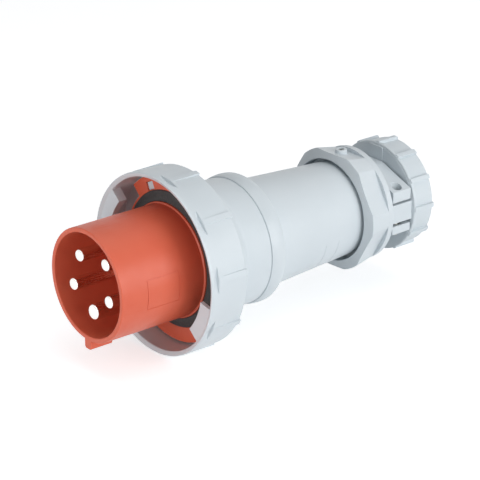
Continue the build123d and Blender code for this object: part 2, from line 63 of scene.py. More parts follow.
SCREEN_TOP = 255
TOE_END = 0.04045
TOE_SLOPE = 12.92
CURVE_LIFT = 0.055
CURVE_POWER = 2.4
FIRST_COLOUR = 6
SECOND_COLOUR = 7
PITCH_RADIUS = 18.5
LUG_ANGLES = (154.0, 334.0)
LATCH_ANGLES = (116.0, 236.0, 3.0)
Colour = tuple[float, float, float]
Plane = Callable[[float, float], Vector]
MATERIALS: dict["Slot", bpy.types.Material] = {}
REPLACED: set[str] = set()
log = logging.getLogger("plug")


class Slot(Enum):
    """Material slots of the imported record."""

    RED = "red_plastic"
    GREY = "grey_plastic"
    RUBBER = "black_rubber"
    NICKEL = "nickel_plate"
    STEEL = "zinc_steel"


class Body(Enum):
    """Bodies that a piece can ride on."""

    PLUG = "plug_body"
    RING = "locking_ring"
    UPPER = "clamp_top"
    LOWER = "clamp_bottom"
    WASHER = "washer"
    NUT = "nut"


class Join(Enum):
    """Ways in which one solid is worked into another."""

    ADD = "UNION"
    CUT = "DIFFERENCE"


class Ease:
    """Easings of edges in millimetres, from a hair line to a great round."""

    HAIR = 0.1
    CRISP = 0.15
    FINE = 0.2
    KEEN = 0.25
    SLIGHT = 0.3
    SLIM = 0.35
    SMALL = 0.4
    PLAIN = 0.5
    FULL = 0.6
    AMPLE = 0.7
    SOFT = 0.8
    CLEAR = 0.9
    ROUND = 1.0
    WIDE = 1.2
    BOLD = 1.4
    LARGE = 1.5
    BROAD = 2.0
    GREAT = 2.5


class Steps:
    """Faces along a turn or an arc."""

    TURN = 192
    SCOOP = 720
    BUSH = 128
    THREAD = 96
    PIN = 72
    BOSS = 64
    MARK = 60
    HOLE = 48
    ROOM = 48
    SCREW = 40
    PANEL = 40
    NOTCH = 38
    BIT = 32
    LUG = 32
    STOP = 7
    LINE = 2


@dataclass(frozen=True)
class Corner:
    """Corner of a profile in millimetres: how far along, how far out, and how much its edge is eased."""

    along: float
    out: float
    ease: float = 0.0


def turned_plane(along: float, out: float) -> Vector:
    """Place of a turned profile's point: along the plug's axis and up from it."""
    return Vector((along, 0.0, out))


def oblong(start: float, end: float, low: float, high: float) -> list[Corner]:
    """Give the corners of a plain oblong profile."""
    return [Corner(start, low), Corner(end, low), Corner(end, high), Corner(start, high)]


def cross_plane(station: float) -> Plane:
    """Give the places of an outline that lies across the plug's axis.

    Args:
        station: Where the outline lies along the axis.

    Returns:
        A function from across and up to a place.
    """
    return lambda across, up: Vector((station, across, up))


def beside_plane(offset: float) -> Plane:
    """Give the places of an outline that lies along the plug's axis, beside it."""
    return lambda along, out: Vector((along, offset, out))


def about_axis(angle: float) -> Matrix:
    """Turn that takes a form at the top of the plug to an angle seen from the front, 0 right and 90 up."""
    return Matrix.Rotation(radians(90.0 - angle), 4, "X")


def spread(first: float, count: int) -> list[Matrix]:
    """Turns of a form that is repeated evenly round the plug's axis."""
    return [about_axis(first + FULL_TURN / count * index) for index in range(count)]


def shifted(along: float, across: float = 0.0) -> Matrix:
    """Move along the plug's axis and sideways from it."""
    return Matrix.Translation((along, across, 0.0))


class Stock:
    """A closed solid under work, in millimetres."""

    def __init__(self, bm: bmesh.types.BMesh) -> None:
        """Take over a mesh.

        Args:
            bm: The mesh, which this stock then owns.
        """
        self.bm = bm

    @staticmethod
    def lay_profile(corners: Iterable[Corner], place: Plane) -> bmesh.types.BMesh:
        """Draw a flat outline and ease its corners.

        Args:
            corners: The outline's corners in order.
            place: Where a corner's two values lie in space.

        Returns:
            A mesh with one face.
        """
        bm = bmesh.new()
        points = [(corner, bm.verts.new(place(corner.along, corner.out))) for corner in corners]
        bm.faces.new([vert for _, vert in points])
        for corner, vert in points:
            if corner.ease:
                Stock.round_off(bm, [vert], corner.ease, "VERTICES", 3 + round(corner.ease))
        return bm

    @staticmethod
    def round_off(bm: bmesh.types.BMesh, parts: list, ease: float, kind: str, segments: int = 3) -> None:
        """Round some points or edges of a mesh."""
        bmesh.ops.bevel(bm, geom=parts, offset=ease, offset_type="OFFSET", affect=kind, segments=segments,
                        profile=0.5, material=-1)

    @classmethod
    def turned(cls, corners: Iterable[Corner], steps: int = Steps.TURN) -> "Stock":
        """Turn a profile into a solid round the plug's axis.

        Args:
            corners: The profile's corners in order, out being the radius.
            steps: Faces round the axis.

        Returns:
            The solid.
        """
        bm = cls.lay_profile(corners, turned_plane)
        bmesh.ops.delete(bm, geom=bm.faces[:], context="FACES_ONLY")
        spine = [edge for edge in bm.edges if all(abs(vert.co.z) < MM for vert in edge.verts)]
        bmesh.ops.delete(bm, geom=spine, context="EDGES")
        bmesh.ops.spin(bm, geom=bm.verts[:] + bm.edges[:], cent=(0.0, 0.0, 0.0), axis=(1.0, 0.0, 0.0),
                       angle=tau, steps=steps, use_merge=True)
        return cls(bm).cleaned()

    @classmethod
    def rod(cls, start: float, end: float, radius: float, steps: int, ease: float = 0.0) -> "Stock":
        """Make a round rod on the plug's axis.

        Args:
            start: Where it starts along the axis.
            end: Where it ends.
            radius: Its radius.
            steps: Faces round it.
            ease: How much both rims are eased.

        Returns:
            The rod.
        """
        return cls.turned([Corner(start, 0.0), Corner(start, radius, ease), Corner(end, radius, ease),
                           Corner(end, 0.0)], steps)

    @classmethod
    def gathered(cls, parts: Iterable["Stock"]) -> "Stock":
        """Put several solids that don't touch into one stock."""
        whole = cls(bmesh.new())
        for part in parts:
            mesh = bpy.data.meshes.new("part")
            part.bm.to_mesh(mesh)
            part.bm.free()
            whole.bm.from_mesh(mesh)
            bpy.data.meshes.remove(mesh)
        return whole

    @classmethod
    def arched(cls, corners: Iterable[Corner], span: float, steps: int) -> "Stock":
        """Sweep a profile through part of a turn, centred on the top of the plug.

        Args:
            corners: The profile's corners in order, out being the radius.
            span: The sweep in degrees.
            steps: Faces along the sweep.

        Returns:
            The solid.
        """
        bm = cls.lay_profile(corners, turned_plane)
        bmesh.ops.rotate(bm, verts=bm.verts, matrix=Matrix.Rotation(-radians(span) / 2, 3, "X"))
        bmesh.ops.spin(bm, geom=bm.faces[:], cent=(0.0, 0.0, 0.0), axis=(1.0, 0.0, 0.0), angle=radians(span),
                       steps=steps)
        return cls(bm).cleaned()

    @classmethod
    def drawn(cls, corners: Iterable[Corner], place: Plane, length: Vector, ease: float = 0.0) -> "Stock":
        """Pull an outline straight into a solid.

        Args:
            corners: The outline's corners in order.
            place: Where a corner's two values lie in space.
            length: The pull.
            ease: How much the edges of both ends are eased.

        Returns:
            The solid.
        """
        bm = cls.lay_profile(corners, place)
        pulled = bmesh.ops.extrude_face_region(bm, geom=bm.faces[:], use_keep_orig=True)["geom"]
        bmesh.ops.translate(bm, vec=length, verts=cls.points_of(pulled))
        stock = cls(bm).cleaned()
        if ease:
            ends = [edge for edge in bm.edges if abs((edge.verts[0].co - edge.verts[1].co).dot(length)) < MM]
            cls.round_off(bm, ends, ease, "EDGES")
        return stock

    @classmethod
    def block(cls, low: Vector, high: Vector, ease: float = 0.0) -> "Stock":
        """Make a box with eased edges.

        Args:
            low: Its lowest corner.
            high: Its highest corner.
            ease: How much every edge is eased.

        Returns:
            The solid.
        """
        bm = bmesh.new()
        bmesh.ops.create_cube(bm, size=1.0)
        bmesh.ops.scale(bm, vec=high - low, verts=bm.verts)
        bmesh.ops.translate(bm, vec=(high + low) / 2, verts=bm.verts)
        if ease:
            cls.round_off(bm, bm.edges[:], ease, "EDGES")
        return cls(bm)

    @staticmethod
    def points_of(parts: Iterable) -> list[bmesh.types.BMVert]:
        """Pick the points among parts of a mesh."""
        return [part for part in parts if isinstance(part, bmesh.types.BMVert)]

    def everything(self) -> list:
        """Give all points, edges and faces of the solid."""
        return self.bm.verts[:] + self.bm.edges[:] + self.bm.faces[:]

    def cleaned(self) -> "Stock":
        """Merge doubled points and turn every face outwards."""
        bmesh.ops.remove_doubles(self.bm, verts=self.bm.verts, dist=MM)
        bmesh.ops.recalc_face_normals(self.bm, faces=self.bm.faces)
        return self

    def moved(self, matrix: Matrix) -> "Stock":
        """Move or turn the solid."""
        bmesh.ops.transform(self.bm, matrix=matrix, verts=self.bm.verts)
        return self

    def copied(self, places: Iterable[Matrix]) -> "Stock":
        """Repeat the solid at several places.

        Args:
            places: A move for each copy.

        Returns:
            One stock with every copy.
        """
        first = self.everything()
        for place in places:
            made = bmesh.ops.duplicate(self.bm, geom=first)["geom"]
            bmesh.ops.transform(self.bm, matrix=place, verts=self.points_of(made))
        bmesh.ops.delete(self.bm, geom=self.points_of(first), context="VERTS")
        return self

    def trimmed(self, place: Vector, way: Vector) -> "Stock":
        """Cut away what lies beyond a plane.

        Args:
            place: A point of the plane.
            way: The direction of what goes.

        Returns:
            This stock.
        """
        bmesh.ops.bisect_plane(self.bm, geom=self.everything(), plane_co=place, plane_no=way,
                               clear_outer=True)
        bmesh.ops.holes_fill(self.bm, edges=self.bm.edges)
        return self.cleaned()

    def raised(self) -> "Stock":
        """Stand a form that lies on the plug's axis upright."""
        return self.moved(Matrix.Rotation(-radians(90.0), 4, "Y"))

    def as_object(self, name: str) -> bpy.types.Object:
        """Put the solid's mesh into an object of the scene."""
        mesh = bpy.data.meshes.new(name)
        self.bm.to_mesh(mesh)
        piece = bpy.data.objects.new(name, mesh)
        bpy.context.scene.collection.objects.link(piece)
        return piece

    def joined(self, tool: "Stock", how: Join) -> "Stock":
        """Work another solid into this one.

        Args:
            tool: The other solid, which is used up.
            how: Whether it is added or cut away.

        Returns:
            This stock.
        """
        base, worker = self.as_object("base"), tool.as_object("worker")
        step = base.modifiers.new("join", "BOOLEAN")
        step.operation = how.value
        step.solver = "EXACT"
        step.object = worker
        self.take_result(base)
        tool.bm.free()
        self.discard(worker)
        bmesh.ops.remove_doubles(self.bm, verts=self.bm.verts, dist=2 * MM)
        bmesh.ops.dissolve_degenerate(self.bm, edges=self.bm.edges, dist=2 * MM)
        return self

    def eased(self, width: float) -> "Stock":
        """Ease every clear edge by a width."""
        base = self.as_object("base")
        step = base.modifiers.new("ease", "BEVEL")
        step.limit_method = "ANGLE"
        step.angle_limit = radians(EDGE_ANGLE)
        step.width = width
        step.segments = 2
        step.use_clamp_overlap = False
        self.take_result(base)
        return self

    def take_result(self, base: bpy.types.Object) -> None:
        """Take an object's mesh as its modifiers leave it, and drop the object."""
        mesh = bpy.data.meshes.new_from_object(base.evaluated_get(bpy.context.evaluated_depsgraph_get()))
        self.bm.free()
        self.bm = bmesh.new()
        self.bm.from_mesh(mesh)
        bpy.data.meshes.remove(mesh)
        self.discard(base)

    @staticmethod
    def discard(piece: bpy.types.Object) -> None:
        """Remove an object and its mesh."""
        mesh = piece.data
        bpy.data.objects.remove(piece)
        bpy.data.meshes.remove(mesh)

    def finished(self, name: str, body: Body, slot: Slot, *nodes: str) -> bpy.types.Object:
        """Turn the solid into a piece of the plug, in metres.

        Args:
            name: The piece's name.
            body: The body that it rides on.
            slot: The material slot of its finish.
            nodes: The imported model's nodes that it stands for.

        Returns:
            The piece.
        """
        bmesh.ops.scale(self.bm, vec=(MM, MM, MM), verts=self.bm.verts)
        piece = self.as_object(name)
        self.bm.free()
        piece.data.shade_smooth()
        piece.data.set_sharp_from_angle(angle=radians(SHARP_ANGLE))
        piece.data.materials.append(MATERIALS[slot])
        weigh = piece.modifiers.new("even_shading", "WEIGHTED_NORMAL")
        weigh.keep_sharp = True
        weigh.weight = SHADING_WEIGHT
        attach(piece, body.value)
        if nodes:
            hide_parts(*nodes)
            REPLACED.update(nodes)
        log.info("made %s for %s", name, ", ".join(nodes) or body.value)
        return piece


def thread_profile(start: float, end: float, pitch: float, radius: float, depth: float) -> list[Corner]:
    """Give the profile of a screw's thread.

    Args:
        start: Where the thread starts.
        end: Where its last turn starts at the latest.
        pitch: Length of one turn.
        radius: Its crest's radius.
        depth: Its depth.

    Returns:
        The corners of every turn.
    """
    corners = []
    station = start
    while station < end:
        corners += [Corner(station, radius - depth), Corner(station + pitch / 2, radius)]
        station += pitch
    return corners


@dataclass(frozen=True)
class Places:
    """Places along the plug's axis that several pieces share, in millimetres from the sleeve's rim."""

    mouth_floor: float = 56.0
    web_rear: float = 66.0
    flange_front: float = 64.0
    flange_rear: float = 68.4
    spigot_rear: float = 86.0
    ring_front: float = 48.8
    ring_web_front: float = 68.7
    ring_web_rear: float = 72.3
    ring_rear: float = 76.4
    neck_rear: float = 205.6
    hex_front: float = 193.2
    hex_rear: float = 209.0
    gland_flange_rear: float = 213.3
    window_rear: float = 231.9
    rear_flange_rear: float = 232.2
    thread_rear: float = 245.2
    clamp_middle: float = 222.4
    nut_rear: float = 250.3


class Pin(Enum):
    """The five contact pins: node, angle seen from the front, radius and the tip's place behind the rim."""

    NEUTRAL = ("pin_neutral", 54.0, 4.0, 5.5)
    PHASE_1 = ("pin_phase_1", 126.0, 4.0, 2.5)
    PHASE_2 = ("pin_phase_2", 198.0, 4.0, 2.5)
    EARTH = ("pin_earth", 270.0, 5.0, 4.0)
    PHASE_3 = ("pin_phase_3", 342.0, 4.0, 2.5)

    @property
    def node(self) -> str:
        """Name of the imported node."""
        return self.value[0]

    @property
    def angle(self) -> float:
        """Angle seen from the front, 0 right and 90 up."""
        return self.value[1]

    @property
    def radius(self) -> float:
        """Radius of the contact part."""
        return self.value[2]

    @property
    def tip(self) -> float:
        """Place of the tip along the plug's axis."""
        return self.value[3]

    def place(self) -> Matrix:
        """Move from the plug's axis to the pin's own axis."""
        side = radians(self.angle)
        return Matrix.Translation((0.0, -PITCH_RADIUS * cos(side), PITCH_RADIUS * sin(side)))


@dataclass
class ContactCarrier:
    """Red moulding: sleeve with its key, floor with the pins' holes, seal groove, flange and spigot."""

    at: Places
    sleeve_radius: float = 35.5
    mouth_radius: float = 32.5
    seal_inner: float = 36.5
    groove_outer: float = 43.15
    groove_floor: float = 65.5
    flange_radius: float = 52.8
    spigot_radius: float = 37.5
    spigot_inner: float = 34.3
    key_half_width: float = 3.25
    key_reach: float = 41.3
    key_length: float = 16.0
    key_root: float = 1.5
    base_front: float = 60.5
    base_rear: float = 61.0
    pin_hole_radius: float = 4.45
    earth_hole_radius: float = 5.45
    collar_hole_radius: float = 7.25
    collar_depth: float = 4.0
    notch_floor: float = 44.35
    notch_top: float = 54.0
    notch_span: float = 38.1
    latch_inner: float = 43.6
    latch_outer: float = 48.9
    latch_half_width: float = 3.4
    panel_front: float = 18.6
    panel_rear: float = 42.4
    panel_middle: float = 0.2
    panel_span: float = 31.0
    panel_line: float = 0.42
    panel_depth: float = 0.22
    ease: float = 0.5

    def build(self) -> None:
        """Make the moulding."""
        stock = self.turn_shell()
        stock.joined(self.form_key(), Join.ADD)
        stock.joined(self.bore_pin_holes(), Join.CUT)
        stock.joined(self.sink_collars(), Join.CUT)
        stock.joined(self.open_notches(), Join.CUT)
        stock.joined(self.open_latches(), Join.CUT)
        stock.joined(self.engrave_panel(), Join.CUT)
        stock.finished("carrier_moulding", Body.PLUG, Slot.RED, "contact_carrier")

    def turn_shell(self) -> Stock:
        """Turn the sleeve, floor, flange and spigot in one."""
        at = self.at
        return Stock.turned([
            Corner(0.0, self.mouth_radius, Ease.AMPLE),
            Corner(0.0, self.sleeve_radius, Ease.SOFT),
            Corner(self.base_front, self.sleeve_radius, Ease.SLIGHT),
            Corner(self.base_rear, self.seal_inner, Ease.CRISP),
            Corner(self.groove_floor, self.seal_inner, Ease.FINE),
            Corner(self.groove_floor, self.groove_outer, Ease.FINE),
            Corner(at.flange_front, self.groove_outer, Ease.SLIGHT),
            Corner(at.flange_front, self.flange_radius, self.ease),
            Corner(at.flange_rear, self.flange_radius, self.ease),
            Corner(at.flange_rear, self.spigot_radius, self.ease),
            Corner(at.spigot_rear, self.spigot_radius, self.ease),
            Corner(at.spigot_rear, self.spigot_inner, self.ease),
            Corner(at.web_rear, self.spigot_inner, self.ease),
            Corner(at.web_rear, 0.0),
            Corner(at.mouth_floor, 0.0),
            Corner(at.mouth_floor, self.mouth_radius, Ease.WIDE),
        ])

    def form_key(self) -> Stock:
        """Make the key under the sleeve, rounded towards its foot."""
        half, root = self.key_half_width, self.sleeve_radius - self.key_root
        outline = [Corner(-half, -root), Corner(-half, -self.key_reach, Ease.BROAD),
                   Corner(half, -self.key_reach, Ease.BROAD), Corner(half, -root)]
        return Stock.drawn(outline, cross_plane(0.0), Vector((self.key_length, 0.0, 0.0)), self.ease)

    def bore_pin_holes(self) -> Stock:
        """Make the tools that bore the floor for the five pins."""
        start, end = self.at.mouth_floor - OVERRUN, self.at.web_rear + OVERRUN
        radii = {pin: self.earth_hole_radius if pin is Pin.EARTH else self.pin_hole_radius for pin in Pin}
        return Stock.gathered(Stock.rod(start, end, radius, Steps.HOLE).moved(pin.place())
                              for pin, radius in radii.items())

    def sink_collars(self) -> Stock:
        """Make the tools that sink the pins' collars into the floor from behind."""
        rear = self.at.web_rear
        tool = Stock.rod(rear - self.collar_depth, rear + OVERRUN, self.collar_hole_radius, Steps.BOSS)
        return tool.copied(pin.place() for pin in Pin)

    def open_notches(self) -> Stock:
        """Make the tools that open the flange where the ring's lugs pass."""
        profile = oblong(self.at.flange_front - OVERRUN, self.at.flange_rear + OVERRUN,
                         self.notch_floor, self.notch_top)
        tool = Stock.arched(profile, self.notch_span, Steps.NOTCH)
        return tool.copied(about_axis(angle) for angle in LUG_ANGLES)

    def open_latches(self) -> Stock:
        """Make the tools that open the flange for the housing's latches."""
        tool = Stock.block(Vector((self.at.flange_front - OVERRUN, -self.latch_half_width, self.latch_inner)),
                           Vector((self.at.flange_rear + OVERRUN, self.latch_half_width, self.latch_outer)))
        return tool.copied(about_axis(angle) for angle in LATCH_ANGLES)

    def engrave_panel(self) -> Stock:
        """Make the tools that engrave the thin outline of a bare label panel on the sleeve."""
        low, high = self.sleeve_radius - self.panel_depth, self.sleeve_radius + OVERRUN
        line = self.panel_line
        edge_span = FULL_TURN * line / (tau * self.sleeve_radius)
        hoops = Stock.arched(oblong(0.0, line, low, high), self.panel_span, Steps.PANEL).copied(
            about_axis(self.panel_middle) @ shifted(place)
            for place in (self.panel_front, self.panel_rear - line))
        side_profile = oblong(self.panel_front, self.panel_rear, low, high)
        bars = Stock.arched(side_profile, edge_span, Steps.LINE).copied(
            about_axis(self.panel_middle + side * (self.panel_span - edge_span) / 2) for side in (1, -1))
        return hoops.joined(bars, Join.ADD)


@dataclass
class ContactPins:
    """Plated contact pins, each with a shank in the floor, a collar and a barrel with two screw holes."""

    at: Places
    shank_step: float = 0.4
    collar_radius: float = 7.2
    collar_depth: float = 4.0
    barrel_radius: float = 6.0
    barrel_rear: float = 88.0
    conductor_radius: float = 4.2
    conductor_depth: float = 19.0
    tip_ease: float = 1.5
    screw_radius: float = 3.05
    screw_reach: float = 9.0
    screw_stations: tuple[float, float] = (74.0, 82.0)

    def build(self) -> None:
        """Make the five pins."""
        for pin in Pin:
            stock = self.turn_pin(pin).joined(self.bore_screw_holes(pin), Join.CUT)
            stock.moved(pin.place()).finished(pin.node + "_contact", Body.PLUG, Slot.NICKEL, pin.node)

    def turn_pin(self, pin: Pin) -> Stock:
        """Turn one pin round the plug's axis, ready to be moved to its place."""
        floor, rear = self.at.mouth_floor, self.at.web_rear
        shank = pin.radius + self.shank_step
        blind = self.barrel_rear - self.conductor_depth
        return Stock.turned([
            Corner(pin.tip, 0.0),
            Corner(pin.tip, pin.radius, self.tip_ease),
            Corner(floor, pin.radius),
            Corner(floor, shank),
            Corner(rear - self.collar_depth, shank),
            Corner(rear - self.collar_depth, self.collar_radius, Ease.SMALL),
            Corner(rear, self.collar_radius, Ease.SMALL),
            Corner(rear, self.barrel_radius),
            Corner(self.barrel_rear, self.barrel_radius, Ease.FULL),
            Corner(self.barrel_rear, self.conductor_radius, Ease.PLAIN),
            Corner(blind, self.conductor_radius, Ease.SMALL),
            Corner(blind, 0.0),
        ], Steps.PIN)

    def bore_screw_holes(self, pin: Pin) -> Stock:
        """Make the tools that bore one pin's barrel for its clamping screws."""
        bit = Stock.rod(0.0, self.screw_reach, self.screw_radius, Steps.BIT).raised()
        return bit.copied(about_axis(pin.angle) @ shifted(station) for station in self.screw_stations)


@dataclass
class Seals:
    """Rubber pieces: the ring in front of the flange and the bush that grips the cable."""

    groove_floor: float = 65.5
    ring_front: float = 61.6
    ring_step: float = 63.5
    ring_inner: float = 36.55
    ring_outer: float = 43.1
    lip_radius: float = 39.0
    lip_setback: float = 0.4
    step_radius: float = 41.6
    step_setback: float = 0.3
    bush_front: float = 233.0
    bush_rear: float = 244.0
    bush_outer: float = 23.95
    bush_bore: float = 13.5
    groove_depth: float = 0.9
    groove_half_width: float = 0.8
    groove_shares: tuple[float, float] = (0.36, 0.68)

    def build(self) -> None:
        """Make both pieces."""
        self.turn_front_ring().finished("front_seal_ring", Body.PLUG, Slot.RUBBER, "front_seal")
        self.turn_bush().finished("cable_bush", Body.PLUG, Slot.RUBBER, "sealing_bush")

    def turn_front_ring(self) -> Stock:
        """Turn the ring, thicker towards the sleeve, with a soft lip at its outer edge."""
        return Stock.turned([
            Corner(self.groove_floor, self.ring_inner, Ease.FINE),
            Corner(self.ring_front, self.ring_inner, Ease.FULL),
            Corner(self.ring_front + self.lip_setback, self.lip_radius, Ease.SOFT),
            Corner(self.ring_step - self.step_setback, self.step_radius, Ease.SOFT),
            Corner(self.ring_step, self.ring_outer, Ease.FULL),
            Corner(self.groove_floor, self.ring_outer, Ease.FINE),
        ])

    def turn_bush(self) -> Stock:
        """Turn the bush, with two shallow grooves in its bore where it bends round the cable."""
        wide, floor = self.groove_half_width, self.bush_bore + self.groove_depth
        bore = []
        for share in self.groove_shares:
            middle = self.bush_front + (self.bush_rear - self.bush_front) * share
            bore += [Corner(middle - wide, self.bush_bore, Ease.SLIGHT), Corner(middle, floor, Ease.SMALL),
                     Corner(middle + wide, self.bush_bore, Ease.SLIGHT)]
        return Stock.turned([
            Corner(self.bush_rear, self.bush_bore, Ease.ROUND),
            Corner(self.bush_rear, self.bush_outer, Ease.FULL),
            Corner(self.bush_front, self.bush_outer, Ease.FULL),
            Corner(self.bush_front, self.bush_bore, Ease.ROUND),
            *bore,
        ], Steps.BUSH)


@dataclass
class LockingRing:
    """Bayonet ring with ten finger ribs, a crescent scoop before each and two lugs inside."""

    at: Places
    lip_length: float = 1.5
    lip_radius: float = 57.0
    front_radius: float = 57.5
    rear_radius: float = 56.6
    inner_radius: float = 54.3
    bore_radius: float = 46.0
    mouth_depth: float = 1.6
    rear_ease: float = 1.5
    rib_count: int = 10
    rib_first_angle: float = 7.1
    rib_half_width: float = 1.9
    rib_front_height: float = 0.12
    rib_rear_height: float = 1.2
    rib_root: float = 1.6
    rib_front: float = 55.0
    rib_rear: float = 76.1
    scoop_floor: float = 53.9
    scoop_depth: float = 1.7
    scoop_radius: float = 36.7
    scoop_lift: float = 28.0
    scoop_thickness: float = 9.0
    scoop_headroom: float = 4.0
    lug_front: float = 50.3
    lug_rear: float = 56.3
    lug_radius: float = 45.5
    lug_span: float = 29.5
    lug_turn: float = 1.2
    lug_thinning: float = 3.4
    lug_root: float = 1.0
    stop_room_radius: float = 48.2
    stop_room_middle: float = 40.0
    stop_room_span: float = 48.2

    def build(self) -> None:
        """Make the ring."""
        stock = self.turn_band()
        stock.joined(self.form_ribs(), Join.ADD)
        stock.joined(self.sink_scoops(), Join.CUT)
        stock.joined(self.form_lugs(), Join.ADD)
        stock.joined(self.open_stop_room(), Join.CUT)
        stock.finished("bayonet_ring_moulding", Body.RING, Slot.GREY, "bayonet_ring")

    def turn_band(self) -> Stock:
        """Turn the tapering band and the web that runs on the housing's drum."""
        at = self.at
        return Stock.turned([
            Corner(at.ring_front, self.lip_radius, Ease.PLAIN),
            Corner(at.ring_front + self.lip_length, self.front_radius, Ease.CLEAR),
            Corner(at.ring_rear, self.rear_radius, self.rear_ease),
            Corner(at.ring_rear, self.inner_radius, Ease.FULL),
            Corner(at.ring_web_rear, self.inner_radius, Ease.FULL),
            Corner(at.ring_web_rear, self.bore_radius, Ease.SMALL),
            Corner(at.ring_web_front, self.bore_radius, Ease.SMALL),
            Corner(at.ring_web_front, self.inner_radius, Ease.FULL),
            Corner(at.ring_front + self.mouth_depth, self.inner_radius, Ease.PLAIN),
        ])

    def band_radius(self, station: float) -> float:
        """Radius of the band's outside at a place along the axis."""
        start = self.at.ring_front + self.lip_length
        share = (station - start) / (self.at.ring_rear - start)
        return self.front_radius + (self.rear_radius - self.front_radius) * share

    def form_ribs(self) -> Stock:
        """Make the ribs, which rise from the band towards its rear edge."""
        front, rear = self.band_radius(self.rib_front), self.band_radius(self.rib_rear)
        rib = Stock.drawn([
            Corner(self.rib_front, front - self.rib_root),
            Corner(self.rib_front, front + self.rib_front_height),
            Corner(self.rib_rear, rear + self.rib_rear_height, Ease.SLIGHT),
            Corner(self.rib_rear, rear - self.rib_root),
        ], beside_plane(-self.rib_half_width), Vector((0.0, 2 * self.rib_half_width, 0.0)), Ease.CRISP)
        return rib.copied(spread(self.rib_first_angle, self.rib_count))

    def sink_scoops(self) -> Stock:
        """Make the slanting round tools that sink a crescent before each rib."""
        lift = radians(self.scoop_lift)
        tool = Stock.rod(-self.scoop_thickness, 0.0, self.scoop_radius, Steps.SCOOP)
        seat = Vector((self.scoop_floor + self.scoop_radius * sin(lift), 0.0,
                       self.front_radius - self.scoop_depth + self.scoop_radius * cos(lift)))
        tool.moved(Matrix.Translation(seat) @ Matrix.Rotation(lift, 4, "Y"))
        tool.trimmed(Vector((0.0, 0.0, self.front_radius + self.scoop_headroom)), Vector((0.0, 0.0, 1.0)))
        return tool.copied(spread(self.rib_first_angle, self.rib_count))

    def form_lugs(self) -> Stock:
        """Make the two lugs, whose rear faces slope so that they draw the plug into its socket."""
        lug = Stock.arched([
            Corner(self.lug_front, self.lug_radius, Ease.PLAIN),
            Corner(self.lug_rear, self.lug_radius, Ease.PLAIN),
            Corner(self.lug_rear, self.inner_radius + self.lug_root),
            Corner(self.lug_front, self.inner_radius + self.lug_root),
        ], self.lug_span, Steps.LUG)
        reach = self.lug_radius * sin(radians(self.lug_span / 2))
        lug.trimmed(Vector((self.lug_rear - self.lug_thinning / 2, 0.0, 0.0)),
                    Vector((1.0, self.lug_thinning / 2 / reach, 0.0)))
        return lug.copied(about_axis(angle - self.lug_turn) for angle in LUG_ANGLES)

    def open_stop_room(self) -> Stock:
        """Make the tool that leaves room in the web for the housing's stop."""
        profile = oblong(self.at.ring_web_front - OVERRUN, self.at.ring_web_rear + OVERRUN,
                         self.bore_radius - OVERRUN, self.stop_room_radius)
        room = Stock.arched(profile, self.stop_room_span, Steps.ROOM)
        return room.moved(about_axis(self.stop_room_middle))


